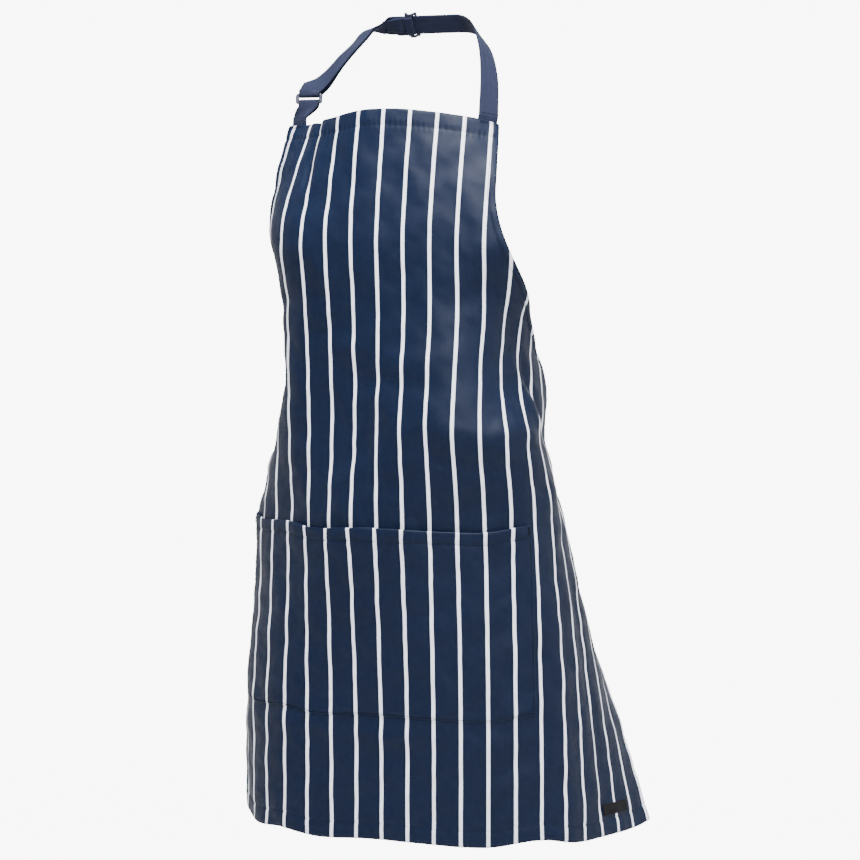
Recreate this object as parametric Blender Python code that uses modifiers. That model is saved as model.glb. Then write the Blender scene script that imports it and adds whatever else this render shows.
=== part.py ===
"""Butcher's bib apron with a kangaroo pocket, an adjustable neck strap and tied waist ties.

Metres, +Z up, -Y to the front, +X to the wearer's left.  The origin is where the neck strap
rests on the back of the wearer's neck.

The cloth is one sheet cut 860 x 915 mm.  A point of it is named by two lengths on the flat
sheet: s, sideways from the centre line, and t, down from the bib's top edge.  Each level
of the sheet runs round the wearer along a curve whose heading is given at a few stations,
and each vertical thread keeps its length on the way down.
"""
import math

import bmesh
import bpy
import numpy as np
from mathutils import Vector

# ---------------------------------------------------------------- driving dimensions
STRIPE_PITCH = 0.034
HALF_WIDTH = 0.430
LENGTH = 0.915
BIB_HALF_WIDTH = 0.164
ARMHOLE_START = 0.090        # the bib's edge is straight down to here
ARMHOLE_END = 0.344          # where the armhole meets the side edge
CLOTH = 0.0008               # thickness of one layer
GAP = 0.0004                 # left between touching layers
TOP_HEM = 0.022
SIDE_HEM = 0.012
BOTTOM_HEM = 0.022
POCKET_TOP = 0.525
POCKET_BOTTOM = 0.760
POCKET_HALF_WIDTH = 0.213
POCKET_HEM = 0.018
POCKET_GAPE = 0.013          # how far the middle of the pocket's mouth stands open
TAPE = 0.001                 # thickness of the strap and tie tape
STRAP_WIDTH = 0.026
STRAP_INSET = 0.015          # strap's centre line, in from the bib's corner
TIE_WIDTH = 0.025
HINGE_CLEARANCE = 0.009      # tape left out above the bib's edge, so that it can turn there

BIB_TOP = Vector((0.0, -0.165, -0.130))

# Heading of the cloth, in degrees from +X towards +Y, at stations counted in stripe pitches.
STATIONS = (-12.65, -10, -7.5, -5, -2.5, 0, 2.5, 5, 7.5, 10, 12.65)
LEVELS = (
    # t, how far forward of the bib's top edge, headings
    (0.000, 0.000, (-150, -125, -80, -20, -36, 4, 24, 48, 85, 125, 150)),
    (0.090, 0.014, (-150, -125, -82, -38, -18, 6, 16, 32, 85, 125, 150)),
    (0.160, 0.022, (-150, -125, -90, -62, -5, 8, 13, 28, 85, 125, 150)),
    (0.250, 0.016, (-150, -125, -95, -82, -8, 2, 13, 58, 98, 125, 150)),
    (0.330, 0.014, (-150, -125, -98, -84, -6, -6, 8, 66, 84, 118, 150)),
    (0.400, 0.016, (-150, -125, -95, -66, -4, -12, 8, 44, 94, 122, 150)),
    (0.510, 0.022, (-140, -115, -84, -34, -20, 2, 20, 36, 84, 115, 145)),
    (0.615, 0.015, (-125, -102, -76, -34, -13, 3, 18, 32, 76, 104, 130)),
    (0.760, 0.007, (-105, -92, -70, -32, -2, 4, 13, 29, 67, 90, 103)),
    (0.915, 0.006, (-84, -78, -64, -34, 0, 4, 12, 25, 60, 75, 77)),
)
# How far the bib's top edge hangs below its middle, at the same stations.
TOP_DROP = (0.018, 0.018, 0.012, 0.007, 0.008, 0.0, 0.006, 0.021, 0.047, 0.058, 0.078)


# ---------------------------------------------------------------- the cloth's surface
def hermite(stations, values, places):
    """A smooth curve through values at stations, read at places; values may be rows."""
    stations = np.asarray(stations, float)
    values = np.asarray(values, float)
    slopes = np.gradient(values, stations, axis=0)
    places = np.clip(np.asarray(places, float), stations[0], stations[-1])
    cell = np.clip(np.searchsorted(stations, places, side="right") - 1, 0, len(stations) - 2)
    span = stations[cell + 1] - stations[cell]
    part = (places - stations[cell]) / span
    shape = (slice(None),) + (None,) * (values.ndim - 1)
    span, part = span[shape], part[shape]
    return ((1 + 2 * part) * (1 - part) ** 2 * values[cell]
            + part * (1 - part) ** 2 * span * slopes[cell]
            + part ** 2 * (3 - 2 * part) * values[cell + 1]
            + part ** 2 * (part - 1) * span * slopes[cell + 1])


SIDE_STEPS = 172
DOWN_STEPS = 186


def lay_out_cloth():
    """The whole sheet as an array of points, rows down the sheet and columns across it."""
    across = np.linspace(-HALF_WIDTH, HALF_WIDTH, SIDE_STEPS + 1)
    down = np.linspace(0.0, LENGTH, DOWN_STEPS + 1)
    level = [row[0] for row in LEVELS]
    forward = hermite(level, [row[1] for row in LEVELS], down)
    rows = hermite(level, [row[2] for row in LEVELS], down)
    heading = np.radians(hermite(STATIONS, rows.T, across / STRIPE_PITCH).T)
    step = across[1] - across[0]
    middle = SIDE_STEPS // 2
    flat = []
    for part in (np.cos(heading), np.sin(heading)):
        run = np.zeros_like(part)
        run[:, 1:] = np.cumsum((part[:, 1:] + part[:, :-1]) / 2, axis=1) * step
        flat.append(run - run[:, middle:middle + 1])
    x = flat[0]
    y = flat[1] - forward[:, None]
    drop = down[1] - down[0]
    lean = np.hypot(np.diff(x, axis=0), np.diff(y, axis=0)) / drop
    fall = np.sqrt(np.clip(1 - lean ** 2, 0.5, 1.0)) * drop
    z = np.zeros_like(x)
    z[1:] = -np.cumsum(fall, axis=0)
    z -= hermite(STATIONS, TOP_DROP, across / STRIPE_PITCH)[None, :]
    return np.stack([x, y, z], axis=-1) + np.array(BIB_TOP)


CLOTH_POINTS = lay_out_cloth()


def cloth_at(s, t):
    """The point of the laid-out sheet at flat lengths s and t."""
    across = np.clip((s + HALF_WIDTH) / (2 * HALF_WIDTH), 0, 1) * SIDE_STEPS
    down = np.clip(t / LENGTH, 0, 1) * DOWN_STEPS
    i = min(int(down), DOWN_STEPS - 1)
    j = min(int(across), SIDE_STEPS - 1)
    v, u = down - i, across - j
    top = CLOTH_POINTS[i, j] * (1 - u) + CLOTH_POINTS[i, j + 1] * u
    low = CLOTH_POINTS[i + 1, j] * (1 - u) + CLOTH_POINTS[i + 1, j + 1] * u
    return Vector(top * (1 - v) + low * v)


def outward_at(s, t, reach=0.006):
    """The direction out of the cloth's front face."""
    sideways = cloth_at(s + reach, t) - cloth_at(s - reach, t)
    downwards = cloth_at(s, t + reach) - cloth_at(s, t - reach)
    return downwards.cross(sideways).normalized()


def edge_of_sheet(t):
    """Half the sheet's width at t: the bib, then the armhole's curve, then the full width."""
    if t <= ARMHOLE_START:
        return BIB_HALF_WIDTH
    if t >= ARMHOLE_END:
        return HALF_WIDTH
    part = (t - ARMHOLE_START) / (ARMHOLE_END - ARMHOLE_START)
    bulge = 1 - (1 - part ** 1.8) ** 0.66
    return BIB_HALF_WIDTH + (HALF_WIDTH - BIB_HALF_WIDTH) * bulge


# ---------------------------------------------------------------- solids
def new_material(name, colour, roughness, metallic=0.0):
    material = bpy.data.materials.new(name)
    material.use_nodes = True
    shader = material.node_tree.nodes["Principled BSDF"]
    shader.inputs["Base Color"].default_value = (*colour, 1.0)
    shader.inputs["Roughness"].default_value = roughness
    shader.inputs["Metallic"].default_value = metallic
    return material


NAVY = (0.022, 0.040, 0.105)
TAPE_NAVY = (0.045, 0.055, 0.130)
PLASTIC_NAVY = (0.035, 0.045, 0.110)
LABEL_BLACK = (0.012, 0.012, 0.014)


def add_object(name, mesh, colour, roughness=0.9):
    """A named object of the apron, with a material of its own."""
    thing = bpy.data.objects.new(name, mesh)
    PARTS.objects.link(thing)
    mesh.materials.clear()
    mesh.materials.append(new_material(name, colour, roughness))
    return thing


def add_sheet(name, columns, rows, place, thickness, colour=NAVY, offset=-1.0):
    """A grid whose crossing (column, row) stands at place(column, row), then thickened."""
    grid = bmesh.new()
    bmesh.ops.create_grid(grid, x_segments=columns, y_segments=rows, size=1.0)
    for vertex in grid.verts:
        column = round((vertex.co.x + 1) / 2 * columns)
        row = round((1 - vertex.co.y) / 2 * rows)
        vertex.co = place(column, row)
    mesh = bpy.data.meshes.new(name)
    grid.to_mesh(mesh)
    grid.free()
    thing = add_object(name, mesh, colour)
    shell = thing.modifiers.new("thickness", "SOLIDIFY")
    shell.thickness = thickness
    shell.offset = offset
    shell.use_even_offset = True
    return thing


# ---------------------------------------------------------------- cloth pieces
INNER_COLUMNS = 18           # across each half of the sheet, up to its side hem
POCKET_COLUMNS = 9           # of those, the ones that the pocket covers


def column_place(column, t):
    """Flat s of a column line of the sheet at t; the last line each side is the cut edge."""
    side = column - INNER_COLUMNS - 1
    count = abs(side)
    edge = edge_of_sheet(t)
    if count > INNER_COLUMNS:
        return math.copysign(edge, side)
    pocket_share = POCKET_HALF_WIDTH / (HALF_WIDTH - SIDE_HEM)
    if count <= POCKET_COLUMNS:
        share = count / POCKET_COLUMNS * pocket_share
    else:
        outer = (count - POCKET_COLUMNS) / (INNER_COLUMNS - POCKET_COLUMNS)
        share = pocket_share + outer * (1 - pocket_share)
    return math.copysign((edge - SIDE_HEM) * share, side)


def even_steps(start, end, count):
    return [start + (end - start) * step / count for step in range(count)]


def armhole_steps(count):
    """Levels that close up towards the armhole's foot, where its edge runs sideways."""
    span = ARMHOLE_END - ARMHOLE_START
    return [ARMHOLE_START + span * (1 - (1 - step / count) ** 1.7) for step in range(count)]


ROWS = (
    even_steps(0.0, TOP_HEM, 1)
    + even_steps(TOP_HEM, ARMHOLE_START, 3)
    + armhole_steps(12)
    + even_steps(ARMHOLE_END, POCKET_TOP, 5)
    + even_steps(POCKET_TOP, POCKET_TOP + POCKET_HEM, 1)
    + even_steps(POCKET_TOP + POCKET_HEM, POCKET_BOTTOM, 6)
    + even_steps(POCKET_BOTTOM, LENGTH - BOTTOM_HEM, 4)
    + [LENGTH - BOTTOM_HEM, LENGTH]
)
LAST_COLUMN = 2 * INNER_COLUMNS + 2


def row_index(t):
    return min(range(len(ROWS)), key=lambda index: abs(ROWS[index] - t))


def cloth_layer(name, columns, levels, stand_off, thickness=CLOTH, trim=GAP, colour=NAVY):
    """A layer of the sheet between two column lines and two levels.

    stand_off(s, t) is how far the layer's inner face stands out of the sheet's front face,
    and trim is how far its edges stop short of the lines.
    """
    first_column, last_column = columns
    first_row, last_row = row_index(levels[0]), row_index(levels[1])

    def place(column, row):
        t = ROWS[first_row + row]
        s = column_place(first_column + column, t)
        s += trim * ((column == 0) - (first_column + column == last_column))
        t += trim * ((row == 0) - (first_row + row == last_row))
        return cloth_at(s, t) + outward_at(s, t) * (stand_off(s, t) + thickness)

    return add_sheet(name, last_column - first_column, last_row - first_row, place,
                     thickness, colour)


def behind_panel(s, t):
    """Stand-off of a folded edge, which lies against the back of the panel."""
    return -CLOTH - GAP - 2 * CLOTH


def smooth(part):
    part = min(max(part, 0.0), 1.0)
    return part * part * (3 - 2 * part)


def mouth_gape(s, t):
    """How far the pocket stands off the panel at its mouth, fading to its three seams."""
    across = 1 - (s / POCKET_HALF_WIDTH) ** 2
    down = 1 - (t - POCKET_TOP) / (POCKET_BOTTOM - POCKET_TOP)
    return POCKET_GAPE * max(across, 0.0) * max(down, 0.0) ** 1.5


def pocket_hem_stand_off(s, t):
    return GAP + mouth_gape(s, t)


def pocket_stand_off(s, t):
    """The pocket clears its own turned hem near the mouth, and lies on the panel below."""
    below_hem = (t - POCKET_TOP - POCKET_HEM) / 0.035
    return GAP + mouth_gape(s, t) + (CLOTH + GAP) * (1 - smooth(below_hem))


def make_cloth():
    full = (0, LAST_COLUMN)
    left_edge = (LAST_COLUMN - 1, LAST_COLUMN)
    right_edge = (0, 1)
    inside_edges = (1, LAST_COLUMN - 1)
    pocket = (1 + INNER_COLUMNS - POCKET_COLUMNS, 1 + INNER_COLUMNS + POCKET_COLUMNS)
    cloth_layer("apron_panel", full, (0, LENGTH), lambda s, t: -CLOTH, trim=0.0)
    cloth_layer("bib_top_hem", inside_edges, (0, TOP_HEM), behind_panel, 2 * CLOTH)
    cloth_layer("bottom_hem", inside_edges, (LENGTH - BOTTOM_HEM, LENGTH),
                behind_panel, 2 * CLOTH)
    for side, columns in (("left", left_edge), ("right", right_edge)):
        cloth_layer("armhole_hem_" + side, columns, (0, ROWS[row_index(ARMHOLE_END) - 1]),
                    behind_panel, 2 * CLOTH)
        cloth_layer("side_hem_" + side, columns, (ARMHOLE_END, LENGTH),
                    behind_panel, 2 * CLOTH)
    cloth_layer("pocket_panel", pocket, (POCKET_TOP, POCKET_BOTTOM), pocket_stand_off)
    cloth_layer("pocket_top_hem", pocket, (POCKET_TOP, POCKET_TOP + POCKET_HEM),
                pocket_hem_stand_off)


# ---------------------------------------------------------------- tape pieces
def smooth_path(points, spacing):
    """Points read every `spacing` or so from a smooth curve through hand-set points.

    Each point is a place and a direction out of the tape's outer face.
    """
    places = [Vector(point[0]) for point in points]
    faces = [Vector(point[1]).normalized() for point in points]
    reach = [0.0]
    for before, after in zip(places, places[1:]):
        reach.append(reach[-1] + (after - before).length)
    count = max(2, round(reach[-1] / spacing))
    along = np.linspace(0, reach[-1], count + 1)
    smooth_places = hermite(reach, [list(place) for place in places], along)
    smooth_faces = hermite(reach, [list(face) for face in faces], along)
    return [(Vector(place), Vector(face).normalized())
            for place, face in zip(smooth_places, smooth_faces)]


def square_up(path):
    """Turn each outward direction square to the path, and add the direction across it.

    A point that already has its direction across is left alone.
    """
    squared = []
    for index, point in enumerate(path):
        if len(point) == 3:
            squared.append(point)
            continue
        place, face = point
        before = path[max(index - 1, 0)][0]
        after = path[min(index + 1, len(path) - 1)][0]
        run = (after - before).normalized()
        face = (face - run * face.dot(run)).normalized()
        squared.append((place, face, run.cross(face)))
    return squared


def add_tape(name, path, width, colour=TAPE_NAVY, thickness=TAPE):
    frames = square_up(path)

    def place(column, row):
        spot, face, across = frames[row]
        return spot + across * width * (column / 2 - 0.5)

    return add_sheet(name, 2, len(frames) - 1, place, thickness, colour, offset=0.0)


MM = 0.001
# The strap runs straight across the back of the neck, where the slider moves along it.
STRAP_RUN = Vector((-1.0, 0.0, 0.04)).normalized()
STRAP_FACE = Vector((0.0, 0.85, 0.53))
STRAP_FACE = (STRAP_FACE - STRAP_RUN * STRAP_FACE.dot(STRAP_RUN)).normalized()


def at_neck(along):
    """A point of the strap's straight run, whose inner face passes through the origin."""
    return STRAP_RUN * along + STRAP_FACE * TAPE / 2


# The neck strap's route: from the bib's left corner up round the neck to the ring.
STRAP_ROUTE = (
    ((124 * MM, -80 * MM, -84 * MM), (0.78, -0.62, 0.05)),
    ((98 * MM, -42 * MM, -34 * MM), (0.90, -0.15, 0.42)),
    ((72 * MM, -16 * MM, -10 * MM), (0.72, 0.45, 0.52)),
    (at_neck(-44 * MM), STRAP_FACE),
    (at_neck(-36 * MM), STRAP_FACE),
    (at_neck(0.0), STRAP_FACE),
    (at_neck(44 * MM), STRAP_FACE),
    (at_neck(52 * MM), STRAP_FACE),
    ((-72 * MM, -20 * MM, -3 * MM), (-0.23, -0.30, 0.92)),
    ((-79 * MM, -43 * MM, -23 * MM), (-0.31, -0.55, 0.77)),
    ((-86 * MM, -66 * MM, -43 * MM), (-0.26, -0.66, 0.70)),
    ((-112 * MM, -84 * MM, -79 * MM), (-0.10, -0.88, 0.46)),
)
RING_FACE = Vector((0.25, -0.96, 0.12)).normalized()
RING_ACROSS = Vector((0.96, 0.25, 0.0)).normalized()
RING_UP = RING_ACROSS.cross(RING_FACE).normalized() * -1
RING_CENTRE = Vector((-124 * MM, -96 * MM, -102 * MM))
RING_HALF_HEIGHT = 5.2 * MM      # from the centre of one long bar to the middle
RING_TOP_BAR = RING_CENTRE + RING_UP * RING_HALF_HEIGHT
RING_LOW_BAR = RING_CENTRE - RING_UP * RING_HALF_HEIGHT
RING_WIRE = 1.9 * MM
RING_HALF_WIDTH = 15.4 * MM      # from the centre of one end bar to the middle
STRAIGHT = 5 * MM                # of tape held square to the ring beside its bars
SLIDER_AT = 22 * MM              # along the straight run at the back of the neck
LOOP_LENGTH = 11 * MM            # of the strap's end, turned round the slider's bar
SLIDER_TRAVEL_BACK = 22 * MM     # room left for the slider to move towards the ring


def strap_start(side):
    """Where the strap leaves the bib's top edge on one side, and which way it faces."""
    s = side * (BIB_HALF_WIDTH - STRAP_INSET)
    return cloth_at(s, 0.0), outward_at(s, 0.003)


def turn_round_bar(bar, arrive, face, radius, steps=7):
    """Points half way round a bar, from its front (the face side) under it to its back."""
    points = []
    for step in range(steps + 1):
        angle = math.pi * step / steps
        outward = face * math.cos(angle) + arrive * math.sin(angle)
        points.append((bar + outward * radius, outward, arrive.cross(face)))
    return points


def make_neck_strap():
    """One length of tape: up round the neck, through the ring, and back to the slider."""
    corner, facing = strap_start(1)
    lift = (corner - cloth_at(BIB_HALF_WIDTH - STRAP_INSET, 0.02)).normalized()
    start = corner + lift * HINGE_CLEARANCE - facing * (CLOTH / 2)
    radius = RING_WIRE + 3 * GAP + TAPE / 2
    outer = smooth_path([(start, facing), *STRAP_ROUTE,
                         (RING_TOP_BAR + RING_UP * STRAIGHT + RING_FACE * radius, RING_FACE)],
                        0.009)
    turn = turn_round_bar(RING_TOP_BAR, -RING_UP, RING_FACE, radius)
    outer[-1] = (outer[-1][0], *turn[0][1:])
    turn.append((turn[-1][0] + RING_UP * STRAIGHT, *turn[-1][1:]))
    # The return run lies inside the outer one, and parts from it towards the ring.
    ring_reach = len(outer) - 1
    inner = []
    for index in range(ring_reach - 1, 0, -1):
        place, face = square_up(outer)[index][:2]
        if place.x > -(SLIDER_AT + LOOP_LENGTH + SLIDER_TRAVEL_BACK + 4 * MM):
            break
        near_ring = smooth(1 - (ring_reach - index) / 6)
        apart = TAPE + GAP + (2 * radius - TAPE - GAP) * near_ring + 1.5 * MM
        inner.append((place - face * apart, -face))
    path = outer + turn + inner
    return add_tape("neck_strap", path, STRAP_WIDTH)


def make_ring():
    """A rectangle of round rod with rounded corners, through both loops of tape."""
    corner = 1.2 * MM
    points = []
    for quarter, (sign_x, sign_y) in enumerate(((1, 1), (-1, 1), (-1, -1), (1, -1))):
        for step in range(4):
            angle = math.pi / 2 * (quarter + step / 3)
            x = sign_x * (RING_HALF_WIDTH - corner) + corner * math.cos(angle)
            y = sign_y * (RING_HALF_HEIGHT - corner) + corner * math.sin(angle)
            points.append(RING_CENTRE + RING_ACROSS * x + RING_UP * y)
    curve = bpy.data.curves.new("ring_rod", "CURVE")
    curve.dimensions = "3D"
    spline = curve.splines.new("POLY")
    spline.points.add(len(points) - 1)
    for spot, point in zip(spline.points, points):
        spot.co = (*point, 1.0)
    spline.use_cyclic_u = True
    curve.bevel_depth = RING_WIRE
    curve.bevel_resolution = 2
    rod = bpy.data.objects.new("ring_rod", curve)
    PARTS.objects.link(rod)
    depsgraph = bpy.context.evaluated_depsgraph_get()
    mesh = bpy.data.meshes.new_from_object(rod.evaluated_get(depsgraph))
    bpy.data.objects.remove(rod)
    thing = add_object("strap_ring", mesh, PLASTIC_NAVY, 0.4)
    mesh.shade_smooth()
    return thing


def make_ring_tab():
    """A short length of tape that ties the ring's lower bar to the bib's right corner.

    The tab leans, so it is sheared: its width turns from the bib's edge to the ring's bar.
    """
    corner, facing = strap_start(-1)
    lift = (corner - cloth_at(STRAP_INSET - BIB_HALF_WIDTH, 0.02)).normalized()
    start = corner + lift * HINGE_CLEARANCE - facing * (CLOTH / 2)
    radius = RING_WIRE + 3 * GAP + TAPE / 2
    turn = turn_round_bar(RING_LOW_BAR, RING_UP, RING_FACE, radius)
    end = RING_LOW_BAR - RING_UP * STRAIGHT
    steps = 5
    rise = []
    back = []
    for step in range(steps + 1):
        part = step / steps
        middle = start.lerp(end, part)
        outward = facing.lerp(RING_FACE, smooth(part)).normalized()
        width_way = lift.cross(facing).lerp(turn[0][2], smooth(part)).normalized()
        apart = (TAPE + GAP) / 2 * (1 - part) + radius * part
        rise.append((middle + outward * apart, outward, width_way))
        back.append((middle - outward * apart, -outward, width_way))
    return add_tape("ring_tab", rise + turn + back[::-1], STRAP_WIDTH)


def make_sewn_end(name, side):
    """The end of a tape that is stitched behind the bib's top hem."""
    inward = 4 * CLOTH + 2 * GAP + TAPE / 2
    s = side * (BIB_HALF_WIDTH - STRAP_INSET)
    length = TOP_HEM - 1 * MM

    def place(column, row):
        across = s + STRAP_WIDTH * (column / 4 - 0.5)
        t = 0.5 * MM + length * row / 2
        return cloth_at(across, t) - outward_at(across, t) * inward

    return add_sheet(name, 4, 2, place, TAPE, TAPE_NAVY, offset=0.0)


# ---------------------------------------------------------------- slider
SLIDER_HALF_LENGTH = 8.5 * MM
SLIDER_HALF_WIDTH = 16.4 * MM
SLIDER_THICKNESS = 2.2 * MM
BAR = 3.0 * MM
SLIDER_ARCH = 5.2 * MM           # how far the middle bar stands inside the end bars


def slider_frame():
    return at_neck(SLIDER_AT), STRAP_RUN, STRAP_FACE, STRAP_RUN.cross(STRAP_FACE)


def make_slider():
    """A three-bar slider: the strap lies under its end bars and over its middle bar."""
    columns = (-SLIDER_HALF_WIDTH, -SLIDER_HALF_WIDTH + BAR,
               SLIDER_HALF_WIDTH - BAR, SLIDER_HALF_WIDTH)
    slot = SLIDER_HALF_LENGTH - BAR
    rows = [-SLIDER_HALF_LENGTH, -slot, -slot * 0.6, -BAR / 2, BAR / 2, slot * 0.6, slot,
            SLIDER_HALF_LENGTH]
    centre, run, face, across = slider_frame()
    grid = bmesh.new()
    bmesh.ops.create_grid(grid, x_segments=len(columns) - 1, y_segments=len(rows) - 1, size=1.0)
    openings = []
    for cell in grid.faces:
        middle = cell.calc_center_median()
        column = int((middle.x + 1) / 2 * (len(columns) - 1))
        row = int((middle.y + 1) / 2 * (len(rows) - 1))
        if column == 1 and row not in (0, 3, 6):
            openings.append(cell)
    bmesh.ops.delete(grid, geom=openings, context="FACES")
    base = TAPE / 2 + GAP
    for vertex in grid.verts:
        column = round((vertex.co.x + 1) / 2 * (len(columns) - 1))
        row = round((vertex.co.y + 1) / 2 * (len(rows) - 1))
        along = rows[row]
        fall = SLIDER_ARCH * smooth((slot - abs(along)) / (slot - BAR / 2))
        vertex.co = (centre + across * columns[column] + run * along
                     + face * (base + SLIDER_THICKNESS - fall))
    bmesh.ops.recalc_face_normals(grid, faces=grid.faces)
    if sum((cell.normal.dot(face) for cell in grid.faces)) < 0:
        bmesh.ops.reverse_faces(grid, faces=grid.faces)
    mesh = bpy.data.meshes.new("strap_slider")
    grid.to_mesh(mesh)
    grid.free()
    thing = add_object("strap_slider", mesh, PLASTIC_NAVY, 0.4)
    shell = thing.modifiers.new("thickness", "SOLIDIFY")
    shell.thickness = SLIDER_THICKNESS
    shell.offset = -1.0
    return thing


def make_strap_end_loop():
    """The strap's own end, turned round the slider's middle bar and stitched to itself."""
    centre, run, face, across = slider_frame()
    bar_top = TAPE / 2 + GAP + SLIDER_THICKNESS - SLIDER_ARCH
    bar = centre + face * (bar_top - SLIDER_THICKNESS / 2)
    radius = SLIDER_THICKNESS / 2 + GAP + TAPE / 2
    reach = BAR / 2 + 0.3 * MM
    far = LOOP_LENGTH
    path = [(bar + face * radius + run * far, face), (bar + face * radius + run * reach, face),
            (bar + face * radius - run * reach * 0.3, face)]
    path += turn_round_bar(bar - run * reach * 0.6, -run, face, radius, 6)[1:-1]
    path += [(bar - face * radius - run * reach * 0.3, -face),
             (bar - face * radius + run * reach, -face), (bar - face * radius + run * far, -face)]
    return add_tape("strap_end_loop", path, STRAP_WIDTH - 1.2 * MM)


# ---------------------------------------------------------------- waist ties
TIE_DROP = 0.356                 # level on the sheet where the ties are sewn on
KNOT = Vector((8 * MM, 128 * MM, -528 * MM))
KNOT_SIZE = Vector((15 * MM, 9 * MM, 15 * MM))


def tie_route(side):
    """From the sewn end round the hip to the knot."""
    inset = HALF_WIDTH - 0.030
    corner = cloth_at(side * HALF_WIDTH, TIE_DROP)
    facing = outward_at(side * (HALF_WIDTH - 0.01), TIE_DROP)
    inner = cloth_at(side * inset, TIE_DROP) - facing * (4 * CLOTH + 2 * GAP + TAPE)
    leave = corner - facing * (4 * CLOTH + 2 * GAP + TAPE)
    onward = leave + (leave - inner).normalized() * 0.007
    last = KNOT + Vector((side * (KNOT_SIZE.x + 6.0 * MM), 0.0, 0.0))
    halfway = onward.lerp(last, 0.5) + Vector((0.0, 6 * MM, -5 * MM))
    return [(onward, facing), (halfway, Vector((side * 0.2, 1.0, 0.0))),
            (last, Vector((0.0, 1.0, 0.0)))]


def make_tie(name, side):
    return add_tape(name, smooth_path(tie_route(side), 0.010), TIE_WIDTH)


def make_tie_sewn_end(name, side):
    """The end of a tie that is stitched behind the side hem."""
    inward = 4 * CLOTH + 2 * GAP + TAPE / 2
    reach = 0.030

    def place(column, row):
        s = side * (HALF_WIDTH - 1 * MM - reach * row / 3)
        t = TIE_DROP + side * TIE_WIDTH * (0.5 - column / 2)
        return cloth_at(s, t) - outward_at(s, t) * inward

    return add_sheet(name, 2, 3, place, TAPE, TAPE_NAVY, offset=0.0)


def make_knot():
    """The bow's knot, a soft rounded lump of wrapped tape."""
    cage = bmesh.new()
    bmesh.ops.create_cube(cage, size=2.0)
    mesh = bpy.data.meshes.new("bow_knot")
    for vertex in cage.verts:
        vertex.co = Vector((vertex.co.x * KNOT_SIZE.x, vertex.co.y * KNOT_SIZE.y,
                            vertex.co.z * KNOT_SIZE.z)) + KNOT
    cage.to_mesh(mesh)
    cage.free()
    thing = add_object("bow_knot", mesh, TAPE_NAVY)
    soft = thing.modifiers.new("soft", "SUBSURF")
    soft.levels = 2
    soft.render_levels = 2
    return thing


def bow_loop_route(side):
    """A drooping loop of tape that leaves the knot and comes back to it."""
    out = Vector((side, 0.0, 0.0))
    points = (
        (17, 16, 5, 0.0, 0.0, 1.0), (36, 17, 14, -0.2, 0.0, 1.0), (60, 18, 6, 0.6, 0.0, 0.8),
        (70, 18, -10, 1.0, 0.0, -0.2), (58, 18, -22, 0.4, 0.0, -0.9), (36, 17, -15, -0.3, 0.0, -0.9),
        (17, 16, -5, -0.3, 0.0, -0.9),
    )
    return [(KNOT + out * x * MM + Vector((0.0, y * MM, z * MM)),
             Vector((side * nx, ny, nz))) for x, y, z, nx, ny, nz in points]


def make_bow_loop(name, side):
    return add_tape(name, smooth_path(bow_loop_route(side), 0.008), TIE_WIDTH)


TAIL_LENGTH = 0.235
TAIL_HINGE_GAP = 3 * MM


def tail_start(side):
    return KNOT + Vector((side * (TIE_WIDTH / 2 + 2 * MM), 0.0, -KNOT_SIZE.z - TAIL_HINGE_GAP))


def make_tail(name, side):
    """A loose end of a waist tie, hanging from the knot."""
    top = tail_start(side)
    sway = side * 20 * MM
    points = [(top, Vector((side * 0.3, 1.0, 0.1)))]
    for part, lean in ((0.33, 0.2), (0.66, -0.1), (1.0, 0.15)):
        place = top + Vector((sway * part, 6 * MM * part, -TAIL_LENGTH * part))
        points.append((place, Vector((side * lean, 1.0, 0.1))))
    return add_tape(name, smooth_path(points, 0.016), TIE_WIDTH)


# ---------------------------------------------------------------- small pieces
LABEL_WIDTH = 0.053
LABEL_HEIGHT = 0.014
LABEL_AT = (0.357, 0.883)        # the label's middle on the flat sheet


def make_label():
    """A plain woven label on the front, near the left corner of the hem."""
    def place(column, row):
        s = LABEL_AT[0] + LABEL_WIDTH * (column / 4 - 0.5)
        t = LABEL_AT[1] + LABEL_HEIGHT * (row / 2 - 0.5)
        return cloth_at(s, t) + outward_at(s, t) * (0.5 * MM + GAP + 0.6 * MM)

    return add_sheet("woven_label", 4, 2, place, 0.5 * MM, LABEL_BLACK)


def make_bartack(name, side):
    """A dense bar of stitches that locks a top corner of the pocket."""
    s_middle = side * (POCKET_HALF_WIDTH - 5 * MM)

    def place(column, row):
        s = s_middle + 2.5 * MM * (column - 0.5)
        t = POCKET_TOP + 2 * MM + 12 * MM * row / 2
        front = pocket_stand_off(s_middle, POCKET_TOP) + CLOTH + 1.1 * MM
        return cloth_at(s, t) + outward_at(s, t) * front

    return add_sheet(name, 1, 2, place, 0.5 * MM, NAVY)


# ---------------------------------------------------------------- assembly
for old in list(bpy.data.objects):
    bpy.data.objects.remove(old)
PARTS = bpy.data.collections.new("butcher_apron")
bpy.context.scene.collection.children.link(PARTS)

make_cloth()
make_neck_strap()
make_ring()
make_ring_tab()
make_sewn_end("strap_sewn_end", 1)
make_sewn_end("ring_tab_sewn_end", -1)
make_slider()
make_strap_end_loop()
for side_name, side_sign in (("left", 1), ("right", -1)):
    make_tie("waist_tie_" + side_name, side_sign)
    make_tie_sewn_end("tie_sewn_end_" + side_name, side_sign)
    make_bow_loop("bow_loop_" + side_name, side_sign)
    make_tail("bow_tail_" + side_name, side_sign)
    make_bartack("pocket_bartack_" + side_name, side_sign)
make_knot()
make_label()
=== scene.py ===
"""Looks of the butcher's apron: fine cloth, hems, stitches, tapes, fittings and materials.

Metres, +Z up, -Y to the front.  A point of the cloth is named by two lengths on the flat
sheet: s, sideways from the centre line, and t, down from the bib's top edge.
"""
import math

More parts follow.
